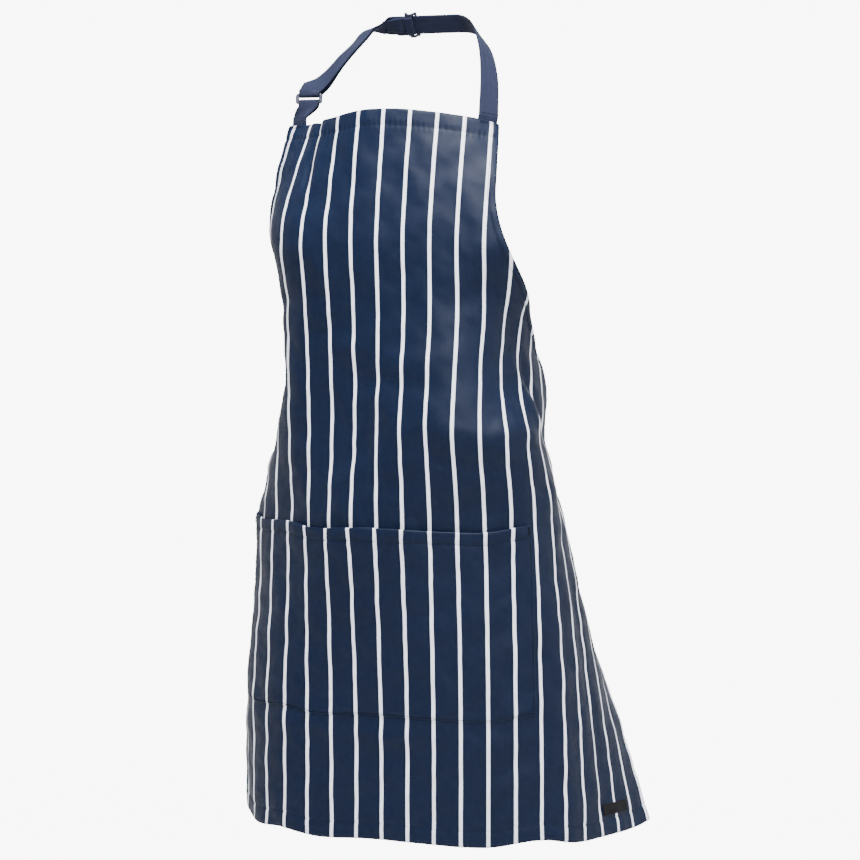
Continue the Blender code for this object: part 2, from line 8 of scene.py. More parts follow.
import bpy
import numpy as np
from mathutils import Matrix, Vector


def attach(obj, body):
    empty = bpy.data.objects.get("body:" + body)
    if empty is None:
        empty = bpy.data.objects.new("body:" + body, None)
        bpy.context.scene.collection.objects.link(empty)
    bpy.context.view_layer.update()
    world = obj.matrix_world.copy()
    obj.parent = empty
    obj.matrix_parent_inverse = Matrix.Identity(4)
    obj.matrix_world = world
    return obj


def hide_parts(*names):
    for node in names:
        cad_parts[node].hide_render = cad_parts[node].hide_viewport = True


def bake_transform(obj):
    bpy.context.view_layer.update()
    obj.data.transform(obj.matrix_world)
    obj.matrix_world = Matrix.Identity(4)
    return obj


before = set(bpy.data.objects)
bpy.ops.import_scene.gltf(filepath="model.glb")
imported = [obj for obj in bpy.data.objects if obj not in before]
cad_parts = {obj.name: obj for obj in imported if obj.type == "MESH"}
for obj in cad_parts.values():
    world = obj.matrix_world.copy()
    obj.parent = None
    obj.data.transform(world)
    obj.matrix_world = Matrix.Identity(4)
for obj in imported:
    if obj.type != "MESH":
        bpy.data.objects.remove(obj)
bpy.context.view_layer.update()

MM = 0.001

# ---------------------------------------------------------------- driving dimensions
STRIPE_PITCH = 0.034
STRIPE_WIDTH = 0.0046
HALF_WIDTH = 0.430
LENGTH = 0.915
BIB_HALF_WIDTH = 0.164
ARMHOLE_START = 0.090            # the bib's edge is straight down to here
ARMHOLE_END = 0.344              # where the armhole meets the side edge
CLOTH = 0.0008                   # thickness of one layer
GAP = 0.0004                     # left between touching layers
TOP_HEM = 0.022
SIDE_HEM = 0.012
BOTTOM_HEM = 0.022
POCKET_TOP = 0.525
POCKET_BOTTOM = 0.760
POCKET_HALF_WIDTH = 0.213
POCKET_HEM = 0.018
POCKET_GAPE = 0.006              # how far the middle of the pocket's mouth stands open
TAPE = 0.001
STRAP_WIDTH = 0.026
STRAP_INSET = 0.015
TIE_WIDTH = 0.025
HINGE_CLEARANCE = 0.009          # free stretch between the bib's edge and the strap
BIB_TOP = (0.0, -0.165, -0.130)
SIDES = (("left", 1), ("right", -1))     # the wearer's sides, and the sign of s on each

# Heading of the cloth, in degrees from +X towards +Y, at stations counted in stripe pitches.
STATIONS = (-12.65, -10, -7.5, -5, -2.5, 0, 2.5, 5, 7.5, 10, 12.65)
LEVELS = (
    # t, how far forward of the bib's top edge, headings
    (0.000, 0.000, (-150, -125, -80, -20, -36, 4, 24, 48, 85, 125, 150)),
    (0.090, 0.014, (-150, -125, -82, -38, -18, 6, 16, 32, 85, 125, 150)),
    (0.160, 0.022, (-150, -125, -90, -62, -5, 8, 13, 28, 85, 125, 150)),
    (0.250, 0.016, (-150, -125, -95, -82, -8, 2, 13, 58, 98, 125, 150)),
    (0.330, 0.014, (-150, -125, -98, -84, -6, -6, 8, 66, 84, 118, 150)),
    (0.400, 0.016, (-150, -125, -95, -66, -4, -12, 8, 44, 94, 122, 150)),
    (0.510, 0.022, (-140, -115, -84, -34, -20, 2, 20, 36, 84, 115, 145)),
    (0.615, 0.015, (-125, -102, -76, -34, -13, 3, 18, 32, 76, 104, 130)),
    (0.760, 0.007, (-105, -92, -70, -32, -2, 4, 13, 29, 67, 90, 103)),
    (0.915, 0.006, (-84, -78, -64, -34, 0, 4, 12, 25, 60, 75, 77)),
)
# How far the bib's top edge hangs below its middle, at the same stations.
TOP_DROP = (0.018, 0.018, 0.012, 0.007, 0.008, 0.0, 0.006, 0.021, 0.047, 0.058, 0.078)

# Soft folds in the cloth: from (s in stripe pitches, t) to (s, t), half width, height.
FOLDS = (
    ((-2.85, -0.02), (-2.75, 0.10), 0.007, -0.0040),
    ((-2.35, -0.02), (-2.30, 0.09), 0.010, 0.0022),
    ((-4.9, 0.17), (-4.2, 0.36), 0.012, -0.0030),
    ((-4.1, 0.22), (-3.7, 0.36), 0.012, 0.0022),
    ((4.6, 0.20), (6.4, 0.29), 0.012, -0.0024),
    ((5.9, 0.30), (7.7, 0.40), 0.011, 0.0034),
    ((6.8, 0.31), (8.6, 0.41), 0.009, -0.0036),
    ((3.0, 0.395), (7.6, 0.415), 0.013, 0.0024),
    ((1.6, 0.425), (6.4, 0.455), 0.014, -0.0022),
    ((-1.2, 0.300), (2.4, 0.318), 0.014, 0.0020),
    ((-0.6, 0.340), (3.4, 0.352), 0.013, -0.0018),
    ((0.0, 0.400), (0.1, 0.480), 0.012, -0.0022),
    ((-9.8, 0.400), (-5.0, 0.470), 0.014, 0.0026),
    ((-9.4, 0.440), (-5.4, 0.520), 0.013, -0.0024),
    ((9.6, 0.420), (6.6, 0.520), 0.014, 0.0026),
    ((10.4, 0.430), (8.2, 0.560), 0.013, -0.0026),
    ((-5.6, 0.775), (5.4, 0.790), 0.012, 0.0016),
    ((7.2, 0.600), (7.9, 0.915), 0.016, 0.0030),
    ((8.8, 0.560), (10.0, 0.915), 0.015, -0.0034),
    ((-7.4, 0.620), (-8.0, 0.915), 0.016, 0.0028),
    ((-9.4, 0.600), (-10.2, 0.915), 0.015, -0.0030),
)


# ---------------------------------------------------------------- the cloth's surface
def hermite(stations, values, places):
    """A smooth curve through values at stations, read at places; values may be rows."""
    stations = np.asarray(stations, float)
    values = np.asarray(values, float)
    slopes = np.gradient(values, stations, axis=0)
    places = np.clip(np.asarray(places, float), stations[0], stations[-1])
    cell = np.clip(np.searchsorted(stations, places, side="right") - 1, 0, len(stations) - 2)
    span = stations[cell + 1] - stations[cell]
    part = (places - stations[cell]) / span
    shape = (slice(None),) + (None,) * (values.ndim - 1)
    span, part = span[shape], part[shape]
    return ((1 + 2 * part) * (1 - part) ** 2 * values[cell]
            + part * (1 - part) ** 2 * span * slopes[cell]
            + part ** 2 * (3 - 2 * part) * values[cell + 1]
            + part ** 2 * (part - 1) * span * slopes[cell + 1])


SIDE_STEPS = 344
DOWN_STEPS = 372
ACROSS = np.linspace(-HALF_WIDTH, HALF_WIDTH, SIDE_STEPS + 1)
DOWN = np.linspace(0.0, LENGTH, DOWN_STEPS + 1)


def lay_out_cloth():
    """The whole sheet as an array of points, rows down the sheet and columns across it."""
    level = [row[0] for row in LEVELS]
    forward = hermite(level, [row[1] for row in LEVELS], DOWN)
    rows = hermite(level, [row[2] for row in LEVELS], DOWN)
    heading = np.radians(hermite(STATIONS, rows.T, ACROSS / STRIPE_PITCH).T)
    step = ACROSS[1] - ACROSS[0]
    middle = SIDE_STEPS // 2
    flat = []
    for part in (np.cos(heading), np.sin(heading)):
        run = np.zeros_like(part)
        run[:, 1:] = np.cumsum((part[:, 1:] + part[:, :-1]) / 2, axis=1) * step
        flat.append(run - run[:, middle:middle + 1])
    x = flat[0]
    y = flat[1] - forward[:, None]
    drop = DOWN[1] - DOWN[0]
    lean = np.hypot(np.diff(x, axis=0), np.diff(y, axis=0)) / drop
    fall = np.sqrt(np.clip(1 - lean ** 2, 0.5, 1.0)) * drop
    z = np.zeros_like(x)
    z[1:] = -np.cumsum(fall, axis=0)
    z -= hermite(STATIONS, TOP_DROP, ACROSS / STRIPE_PITCH)[None, :]
    return np.stack([x, y, z], axis=-1) + np.array(BIB_TOP)


def outward_of(points):
    """Unit normals out of the front of a grid of points."""
    down = np.gradient(points, axis=0)
    side = np.gradient(points, axis=1)
    normal = np.cross(down, side)
    return normal / np.linalg.norm(normal, axis=-1, keepdims=True)


def smooth(part):
    """Ease from 0 to 1 as part runs from 0 to 1, and hold the ends outside that."""
    part = np.clip(part, 0.0, 1.0)
    return part * part * (3 - 2 * part)


def ease(part):
    """The same for one plain number."""
    return float(smooth(part))


def folds(s, t):
    """Height of the soft folds and of the cloth's small unevenness, out of the front."""
    height = np.zeros_like(s)
    for (s0, t0), (s1, t1), half_width, rise in FOLDS:
        start = np.array((s0 * STRIPE_PITCH, t0))
        run = np.array((s1 * STRIPE_PITCH, t1)) - start
        along = ((s - start[0]) * run[0] + (t - start[1]) * run[1]) / run.dot(run)
        held = np.clip(along, 0.0, 1.0)
        away = np.hypot(s - start[0] - held * run[0], t - start[1] - held * run[1])
        taper = smooth(along / 0.25 + 0.35) * smooth((1 - along) / 0.25 + 0.35)
        height += rise * np.exp(-(away / half_width) ** 2) * taper
    for reach, size, turn in ((0.081, 0.0007, 0.4), (0.047, 0.0004, 1.9), (0.023, 0.00016, 2.7)):
        wave_s = s * math.cos(turn) + t * math.sin(turn)
        wave_t = t * math.cos(turn) - s * math.sin(turn)
        height += size * np.sin(wave_s / reach * 6.1 + 1.7 * np.sin(wave_t / reach * 3.7))
    return height


def edge_of_sheet(t):
    """Half the sheet's width at t: the bib, then the armhole's curve, then the full width."""
    t = np.asarray(t, float)
    part = np.clip((t - ARMHOLE_START) / (ARMHOLE_END - ARMHOLE_START), 0.0, 1.0)
    bulge = 1 - (1 - part ** 1.8) ** 0.66
    return BIB_HALF_WIDTH + (HALF_WIDTH - BIB_HALF_WIDTH) * bulge


def edge_slope(t):
    """How fast the edge moves outward as t grows."""
    return (edge_of_sheet(t + 0.001) - edge_of_sheet(t - 0.001)) / 0.002


def from_edge(s, t):
    """Distance on the flat sheet from the side or armhole edge, inward."""
    return (edge_of_sheet(t) - np.abs(s)) / np.sqrt(1 + edge_slope(t) ** 2)


STITCH_IN = 2 * MM               # how far in from a hem's inner fold its stitches run
PUCKER = 7 * MM                  # from one pucker of a hem to the next


def seam_relief(distance, width, along):
    """A hem's swelling, the dent of its stitches, and the small puckers that they draw."""
    line = width - STITCH_IN
    swell = 0.50 * MM * smooth(distance / (3 * MM)) * smooth((line - distance) / (4 * MM))
    dent = -0.75 * MM * np.exp(-((distance - line) / (1.5 * MM)) ** 2)
    near = np.exp(-((distance - line) / (6 * MM)) ** 2)
    wander = 1.3 * np.sin(along / 0.031) + 0.9 * np.sin(along / 0.0117)
    pucker = 0.24 * MM * near * np.sin(along / PUCKER * 2 * math.pi + wander)
    return swell + dent + pucker


def seams(s, t):
    """Relief of the four hems of the apron's body."""
    height = seam_relief(t, TOP_HEM, s)
    height += seam_relief(LENGTH - t, BOTTOM_HEM, s)
    height += seam_relief(from_edge(s, t), SIDE_HEM, t)
    return height


BASE_POINTS = lay_out_cloth()
GRID_S, GRID_T = np.meshgrid(ACROSS, DOWN)
POINTS = BASE_POINTS + outward_of(BASE_POINTS) * folds(GRID_S, GRID_T)[..., None]
NORMALS = outward_of(POINTS)


def read_grid(grid, s, t):
    """Values of a grid on the sheet at any s and t."""
    across = np.clip((s + HALF_WIDTH) / (2 * HALF_WIDTH), 0, 1) * SIDE_STEPS
    down = np.clip(t / LENGTH, 0, 1) * DOWN_STEPS
    i = np.minimum(down.astype(int), DOWN_STEPS - 1)
    j = np.minimum(across.astype(int), SIDE_STEPS - 1)
    v, u = (down - i)[..., None], (across - j)[..., None]
    top = grid[i, j] * (1 - u) + grid[i, j + 1] * u
    low = grid[i + 1, j] * (1 - u) + grid[i + 1, j + 1] * u
    return top * (1 - v) + low * v


def outward(s, t):
    """Unit directions out of the front of the folded sheet."""
    normal = read_grid(NORMALS, s, t)
    return normal / np.linalg.norm(normal, axis=-1, keepdims=True)


def on_cloth(s, t, lift=0.0):
    """Points over the front of the sheet at s and t, lifted off it."""
    s, t = np.broadcast_arrays(np.asarray(s, float), np.asarray(t, float))
    lift = np.broadcast_to(np.asarray(lift, float), s.shape)
    return read_grid(POINTS, s, t) + outward(s, t) * lift[..., None]


# ---------------------------------------------------------------- mesh helpers
def new_piece(name, points, faces, flat, material, body, nodes=()):
    """A mesh piece with the flat lengths of its points kept in the attribute "flat"."""
    mesh = bpy.data.meshes.new(name)
    mesh.from_pydata(np.asarray(points, float).reshape(-1, 3).tolist(), [], faces)
    flat = np.asarray(flat, float).reshape(-1, 2)
    kept = mesh.attributes.new("flat", "FLOAT_VECTOR", "POINT")
    kept.data.foreach_set("vector", np.column_stack([flat, np.zeros(len(flat))]).ravel())
    mesh.polygons.foreach_set("use_smooth", [True] * len(mesh.polygons))
    mesh.materials.append(material)
    piece = bpy.data.objects.new(name, mesh)
    bpy.context.scene.collection.objects.link(piece)
    if body:
        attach(piece, body)
    if nodes:
        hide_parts(*nodes)
    return piece


def grid_faces(rows, columns, closed=False):
    """Quads between the points of a grid, rows first; a closed grid joins its last column."""
    faces = []
    wide = columns if closed else columns - 1
    for row in range(rows - 1):
        for column in range(wide):
            after = (column + 1) % columns
            faces.append((row * columns + column, (row + 1) * columns + column,
                          (row + 1) * columns + after, row * columns + after))
    return faces


def thicken(piece, thickness):
    """Give a sheet its thickness, on its inner side."""
    shell = piece.modifiers.new("thickness", "SOLIDIFY")
    shell.thickness = thickness
    shell.offset = -1.0
    shell.use_rim = True
    return piece


def swept(name, rings, flat, material, body, nodes=()):
    """A closed band through rings of points, with its two ends capped."""
    rings = np.asarray(rings, float)
    rows, columns = rings.shape[:2]
    faces = grid_faces(rows, columns, closed=True)
    faces.append(tuple(range(columns)))
    last = (rows - 1) * columns
    faces.append(tuple(last + column for column in reversed(range(columns))))
    return new_piece(name, rings, faces, flat, material, body, nodes)


# ---------------------------------------------------------------- materials
class Nodes:
    """Short hand for building a material's node tree; most calls give an output socket."""

    def __init__(self, name, roughness):
        self.material = bpy.data.materials.new(name)
        self.material.use_nodes = True
        self.tree = self.material.node_tree
        self.shader = self.tree.nodes["Principled BSDF"]
        self.shader.inputs["Roughness"].default_value = roughness

    def add(self, kind, **settings):
        node = self.tree.nodes.new(kind)
        for key, value in settings.items():
            setattr(node, key, value)
        return node

    def link(self, output, socket):
        self.tree.links.new(output, socket)

    def feed(self, socket, value):
        if isinstance(value, bpy.types.NodeSocket):
            self.link(value, socket)
        else:
            socket.default_value = value

    def math(self, operation, first, second=0.0, third=0.0):
        node = self.add("ShaderNodeMath", operation=operation)
        for socket, value in zip(node.inputs, (first, second, third)):
            self.feed(socket, value)
        return node.outputs[0]

    def flat(self):
        """The piece's flat lengths across and along, in metres."""
        split = self.add("ShaderNodeSeparateXYZ")
        self.link(self.add("ShaderNodeAttribute", attribute_name="flat").outputs["Vector"],
                  split.inputs[0])
        return split.outputs[0], split.outputs[1]

    def ribs(self, length, period):
        """A wave between 0 and 1 that repeats at every period of a length."""
        wave = self.math("SINE", self.math("MULTIPLY", length, 2 * math.pi / period))
        return self.math("MULTIPLY_ADD", wave, 0.5, 0.5)

    def put(self, name, value):
        """Give one of the shader's inputs a value or a link."""
        self.feed(self.shader.inputs[name], value)

    def vector(self, x, y, z=0.0):
        node = self.add("ShaderNodeCombineXYZ")
        for socket, value in zip(node.inputs, (x, y, z)):
            self.feed(socket, value)
        return node.outputs[0]

    def noise(self, vector, scale, detail=3.0):
        node = self.add("ShaderNodeTexNoise")
        self.link(vector, node.inputs["Vector"])
        node.inputs["Scale"].default_value = scale
        node.inputs["Detail"].default_value = detail
        return node.outputs["Fac"]

    def ramp(self, value, low, high, to_low=0.0, to_high=1.0):
        node = self.add("ShaderNodeMapRange", interpolation_type="SMOOTHSTEP")
        for socket, number in zip(node.inputs, (value, low, high, to_low, to_high)):
            self.feed(socket, number)
        return node.outputs[0]

    def mix(self, share, first, second):
        node = self.add("ShaderNodeMix", data_type="RGBA")
        self.feed(node.inputs[0], share)
        self.feed(node.inputs[6], first)
        self.feed(node.inputs[7], second)
        return node.outputs[2]

    def bump(self, height, distance, strength=1.0):
        node = self.add("ShaderNodeBump")
        node.inputs["Distance"].default_value = distance
        node.inputs["Strength"].default_value = strength
        self.link(height, node.inputs["Height"])
        self.link(node.outputs[0], self.shader.inputs["Normal"])

    def sheen(self, weight, roughness, tint):
        self.shader.inputs["Sheen Weight"].default_value = weight
        self.shader.inputs["Sheen Roughness"].default_value = roughness
        self.shader.inputs["Sheen Tint"].default_value = (*tint, 1.0)


NAVY_DARK = (0.0004, 0.0034, 0.0150, 1.0)
NAVY_LIGHT = (0.0012, 0.0064, 0.0250, 1.0)
STRIPE_WHITE = (0.80, 0.81, 0.89, 1.0)
STRIPE_SHADE = (0.62, 0.64, 0.74, 1.0)
TAPE_DARK = (0.004, 0.006, 0.016, 1.0)
TAPE_LIGHT = (0.017, 0.021, 0.046, 1.0)
THREAD_DARK = (0.0006, 0.0012, 0.004, 1.0)
THREAD_LIGHT = (0.003, 0.005, 0.013, 1.0)
PLASTIC_DARK = (0.005, 0.008, 0.024, 1.0)
PLASTIC_WORN = (0.012, 0.017, 0.042, 1.0)
LABEL_DARK = (0.001, 0.001, 0.0012, 1.0)
LABEL_LIGHT = (0.008, 0.008, 0.010, 1.0)
YARN = 0.55 * MM                 # from one twill line to the next


def cloth_material():
    """Navy twill with woven white pinstripes; the twill's lines climb from left to right."""
    kit = Nodes("striped_twill", 0.78)
    s, t = kit.flat()
    where = kit.vector(s, t)
    place = kit.math("FRACT", kit.math("DIVIDE", s, STRIPE_PITCH))
    off = kit.math("MULTIPLY", kit.math("ABSOLUTE", kit.math("SUBTRACT", place, 0.5)),
                   STRIPE_PITCH)
    ragged = kit.math("MULTIPLY_ADD", kit.noise(where, 900.0, 1.0), 0.4 * MM, -0.2 * MM)
    off = kit.math("ADD", off, ragged)
    stripe = kit.ramp(off, STRIPE_WIDTH / 2 + 0.25 * MM, STRIPE_WIDTH / 2 - 0.25 * MM)
    twill = kit.ribs(kit.math("ADD", s, t), YARN)
    yarn = kit.ribs(s, 2 * YARN)
    slub = kit.noise(kit.vector(kit.math("MULTIPLY", s, 8.0), kit.math("MULTIPLY", t, 0.6)),
                     160.0, 2.0)
    cloud = kit.noise(where, 9.0, 4.0)
    shade = kit.math("MULTIPLY_ADD", slub, 0.55, kit.math("MULTIPLY", twill, 0.30))
    shade = kit.math("ADD", shade, kit.math("MULTIPLY_ADD", cloud, 0.5, -0.25))
    navy = kit.mix(shade, NAVY_DARK, NAVY_LIGHT)
    white = kit.mix(kit.math("MULTIPLY_ADD", yarn, 0.45, kit.math("MULTIPLY", slub, 0.3)),
                    STRIPE_WHITE, STRIPE_SHADE)
    kit.put("Base Color", kit.mix(stripe, navy, white))
    height = kit.math("MULTIPLY_ADD", twill, 0.6, kit.math("MULTIPLY", slub, 0.5))
    height = kit.math("MULTIPLY_ADD", stripe, 0.3, height)
    kit.bump(height, 0.12 * MM, 0.55)
    kit.put("Roughness", kit.ramp(slub, 0.2, 0.8, 0.42, 0.54))
    kit.sheen(0.004, 0.25, (0.90, 0.88, 1.0))
    kit.put("Specular IOR Level", 0.14)
    return kit.material


def tape_material():
    """Navy herringbone tape: slanting ribs that turn at the edge of every 3.2 mm band."""
    kit = Nodes("herringbone_tape", 0.8)
    across, along = kit.flat()
    where = kit.vector(across, along)
    band = 3.2 * MM
    fold = kit.math("ABSOLUTE", kit.math("SUBTRACT", kit.math(
        "FRACT", kit.math("DIVIDE", across, band * 2)), 0.5))
    ribs = kit.ribs(kit.math("MULTIPLY_ADD", fold, band * 2, along), 1.5 * MM)
    fuzz = kit.noise(where, 700.0, 3.0)
    cloud = kit.noise(where, 30.0, 2.0)
    shade = kit.math("MULTIPLY_ADD", ribs, 0.55, kit.math("MULTIPLY", fuzz, 0.35))
    shade = kit.math("ADD", shade, kit.math("MULTIPLY_ADD", cloud, 0.4, -0.2))
    colour = kit.mix(shade, TAPE_DARK, TAPE_LIGHT)
    kit.put("Base Color", colour)
    kit.bump(kit.math("MULTIPLY_ADD", fuzz, 0.3, ribs), 0.22 * MM, 0.7)
    kit.put("Roughness", kit.ramp(fuzz, 0.2, 0.8, 0.74, 0.90))
    kit.sheen(0.05, 0.30, (0.84, 0.84, 1.0))
    kit.put("Specular IOR Level", 0.12)
    return kit.material


def thread_material():
    """Twisted navy sewing thread."""
    kit = Nodes("navy_thread", 0.6)
    across, along = kit.flat()
    twist = kit.ribs(kit.math("ADD", across, along), 0.7 * MM)
    kit.put("Base Color", kit.mix(twist, THREAD_DARK, THREAD_LIGHT))
    kit.bump(twist, 0.08 * MM, 0.5)
    kit.sheen(0.01, 0.4, (0.8, 0.85, 1.0))
    kit.put("Specular IOR Level", 0.08)
    return kit.material


def plastic_material():
    """Navy moulded plastic, satin, with a faint grain and rubbed spots."""
    kit = Nodes("moulded_plastic", 0.38)
    coordinates = kit.add("ShaderNodeTexCoord").outputs["Object"]
    grain = kit.noise(coordinates, 2600.0, 2.0)
    worn = kit.noise(coordinates, 160.0, 3.0)
    colour = kit.mix(kit.ramp(worn, 0.35, 0.75), PLASTIC_DARK, PLASTIC_WORN)
    kit.put("Base Color", colour)
    kit.put("Roughness", kit.ramp(worn, 0.3, 0.8, 0.30, 0.50))
    kit.bump(grain, 0.05 * MM, 0.35)
    return kit.material


def label_material():
    """Black woven label with fine ribs along it."""
    kit = Nodes("woven_label", 0.7)
    across, along = kit.flat()
    rib = kit.ribs(along, 0.5 * MM)
    warp = kit.noise(kit.vector(across, along), 1500.0, 2.0)
    shade = kit.math("MULTIPLY_ADD", rib, 0.5, kit.math("MULTIPLY", warp, 0.5))
    colour = kit.mix(shade, LABEL_DARK, LABEL_LIGHT)
    kit.put("Base Color", colour)
    kit.bump(shade, 0.10 * MM, 0.6)
    kit.sheen(0.03, 0.4, (0.8, 0.8, 0.9))
    kit.put("Specular IOR Level", 0.1)
    return kit.material


CLOTH_LOOK = cloth_material()
TAPE_LOOK = tape_material()
THREAD_LOOK = thread_material()
PLASTIC_LOOK = plastic_material()
LABEL_LOOK = label_material()


# ---------------------------------------------------------------- the apron's body
ROLL = 1.2 * MM                  # radius of the cloth's turn at a folded edge
PANEL_COLUMNS = 130              # across each half of the sheet
PANEL_ROWS = 300
POCKET_COLUMNS = 68
POCKET_ROWS = 90


def edge_roll(distance):
    """How far the cloth has turned back at a distance in from its folded edge."""
    inside = np.clip(ROLL - distance, 0.0, ROLL)
    return np.sqrt(ROLL ** 2 - inside ** 2) - ROLL


LIP = ROLL * np.array((0.0, 0.12, 0.32, 0.62, 1.0, 1.4))


def rolled_steps(first, last, count):
    """Levels from first to last that close up where the cloth rolls over at both ends."""
    inner = np.linspace(first + 2 * ROLL, last - 2 * ROLL, count)
    return np.concatenate([first + LIP, inner, last - LIP[::-1]])


def sheet_grid(levels, edge, columns):
    """Flat s and t of a sheet's points: rows at the levels, out to the edge on both sides."""
    inner = np.linspace(0.0, 1.0, columns)[:, None] * (edge[None, :] - 2 * ROLL)
    half = np.concatenate([inner, edge[None, :] - LIP[::-1, None]]).T
    s = np.concatenate([-half[:, :0:-1], half], axis=1)
    return s, np.broadcast_to(levels[:, None], s.shape)


def cloth_sheet(name, node, s, t, lift, thickness=CLOTH, look=CLOTH_LOOK):
    """A sheet on the apron's body, from flat points and how far they stand off the front."""
    piece = new_piece(name, on_cloth(s, t, lift), grid_faces(*s.shape),
                      np.stack([s, t], axis=-1), look, "apron", (node,))
    return thicken(piece, thickness)


def cloth_band(name, node, s, t, lift):
    """A closed band of cloth on the apron's body, from flat outlines and their heights."""
    return swept(name, on_cloth(s, t, lift), np.stack([s, t], axis=-1), CLOTH_LOOK,
                 "apron", (node,))


def make_panel():
    """The whole apron body as one sheet of cloth with rolled edges."""
    levels = rolled_steps(0.0, LENGTH, PANEL_ROWS)
    s, t = sheet_grid(levels, edge_of_sheet(levels), PANEL_COLUMNS)
    lift = seams(s, t) + edge_roll(t) + edge_roll(LENGTH - t) + edge_roll(from_edge(s, t))
    lift = np.maximum(lift, -1.6 * ROLL)
    return cloth_sheet("apron_cloth", "apron_panel", s, t, lift)


def hem_section(width):
    """Outline of a folded hem behind the cloth: how far in, and how far off the front."""
    front = -CLOTH - 0.15 * MM
    back = front - 2 * CLOTH
    line = width - STITCH_IN
    steps = np.array((0.05, 0.2, 0.4, 0.6, 0.8)) * line
    outline = [(0.35 * MM, front - 0.5 * MM), (0.7 * MM, front - 0.1 * MM)]
    outline += [(step, front) for step in steps]
    outline += [(line, front), (width - 0.5 * MM, front)]
    outline += [(width, front - 0.35 * MM), (width, back + 0.35 * MM), (width - 0.5 * MM, back)]
    outline += [(line + 0.9 * MM, back), (line, back + 0.45 * MM), (line - 0.9 * MM, back)]
    outline += [(step, back - 0.25 * MM * math.sin(step / line * math.pi))
                for step in steps[::-1]]
    outline += [(0.5 * MM, back + 0.15 * MM), (0.2 * MM, (front + back) / 2)]
    return np.array(outline)


def make_hem(name, node, s, t, inward_s, inward_t, width, deeper=0.0):
    """A hem band along an edge given by points of the flat sheet and directions inward."""
    outline = hem_section(width)
    reach, lift = outline[:, 0][None, :], outline[:, 1][None, :]
    s = s[:, None] + inward_s[:, None] * reach
    t = t[:, None] + inward_t[:, None] * reach
    lift = lift - np.broadcast_to(deeper, s.shape[:1])[:, None] + seams(s, t) * 0.6
    return cloth_band(name, node, s, t, lift)


def armhole_levels(first, straight_count, curve_count):
    """Levels down the armhole's edge, with the edge's slope and its length for each unit of t."""
    part = np.linspace(0.0, 1.0, curve_count)
    curve = ARMHOLE_START + (ARMHOLE_END - ARMHOLE_START) * (1 - (1 - part) ** 1.8)
    t = np.concatenate([np.linspace(first, ARMHOLE_START, straight_count)[:-1], curve[:-1]])
    slope = edge_slope(t)
    length = np.sqrt(1 + slope ** 2)
    keep = length < 9
    return t[keep], slope[keep], length[keep]


def make_hems():
    """The folded hems behind the panel; the top and bottom ones lap over the sides' hems."""
    made = []
    for name, half, level, way, width, count in (
            ("bib_top", BIB_HALF_WIDTH, 0.0, 1, TOP_HEM, 150),
            ("bottom", HALF_WIDTH, LENGTH, -1, BOTTOM_HEM, 360)):
        s = np.linspace(-half + 0.8 * MM, half - 0.8 * MM, count)
        over = 1.75 * MM * smooth((np.abs(s) - half + SIDE_HEM + 2 * MM) / (2.5 * MM))
        made.append(make_hem(name + "_fold", name + "_hem", s, s * 0 + level, s * 0,
                             s * 0 + way, width, over))
    for side, sign in SIDES:
        t, slope, length = armhole_levels(1 * MM, 50, 170)
        made.append(make_hem("armhole_fold_" + side, "armhole_hem_" + side,
                             sign * edge_of_sheet(t), t, -sign / length, slope / length,
                             SIDE_HEM))
        t = np.linspace(ARMHOLE_END, LENGTH - 1 * MM, 220)
        made.append(make_hem("side_fold_" + side, "side_hem_" + side,
                             sign * HALF_WIDTH + t * 0, t, t * 0 - sign, t * 0, SIDE_HEM))
    return made


# ---------------------------------------------------------------- pocket
def pocket_lift(s, t):
    """How far the pocket's front stands off the panel's: wide at its mouth, none at its seams."""
    across = np.clip(1 - (s / POCKET_HALF_WIDTH) ** 2, 0.0, 1.0)
    down = np.clip(1 - (t - POCKET_TOP) / (POCKET_BOTTOM - POCKET_TOP), 0.0, 1.0)
    gape = POCKET_GAPE * across * down ** 1.5
    corner = 2.2 * MM * smooth((s / POCKET_HALF_WIDTH - 0.62) / 0.18)
    corner = corner * smooth((1 - s / POCKET_HALF_WIDTH) / 0.12) * down ** 9
    below_hem = (t - POCKET_TOP - POCKET_HEM) / 0.035
    hem = (CLOTH + GAP) * (1 - smooth(below_hem))
    return GAP + CLOTH + gape + corner + hem


def pocket_seams(s, t):
    """Relief of the pocket's own edges, with their stitches 2 mm in, and of its mouth's hem."""
    sides = POCKET_HALF_WIDTH - np.abs(s)
    foot = POCKET_BOTTOM - t
    height = seam_relief(t - POCKET_TOP, POCKET_HEM, s + 0.4)
    for distance, along in ((sides, t), (foot, s)):
        height = height + seam_relief(distance, 2 * STITCH_IN, along + 0.7)
        height = height + 0.45 * MM * np.exp(-(distance / (9 * MM)) ** 2)
    return height


def make_pocket():
    """The pocket's front, and the folded hem behind its mouth."""
    levels = rolled_steps(POCKET_TOP, POCKET_BOTTOM, POCKET_ROWS)
    s, t = sheet_grid(levels, np.full(len(levels), POCKET_HALF_WIDTH), POCKET_COLUMNS)
    roll = edge_roll(t - POCKET_TOP) + edge_roll(POCKET_BOTTOM - t)
    roll = roll + edge_roll(POCKET_HALF_WIDTH - np.abs(s))
    lift = pocket_lift(s, t) + pocket_seams(s, t) + np.maximum(roll, -ROLL)
    piece = cloth_sheet("pocket_cloth", "pocket_panel", s, t, lift)
    s = np.linspace(-POCKET_HALF_WIDTH + 1 * MM, POCKET_HALF_WIDTH - 1 * MM, 170)
    outline = hem_section(POCKET_HEM)
    t = POCKET_TOP + outline[:, 0][None, :] + s[:, None] * 0
    s = s[:, None] + t * 0
    lift = pocket_lift(s, t) + np.maximum(outline[:, 1][None, :], -1.9 * MM)
    lift = np.maximum(lift, 0.1 * MM)
    return piece, cloth_band("pocket_mouth_fold", "pocket_top_hem", s, t, lift)


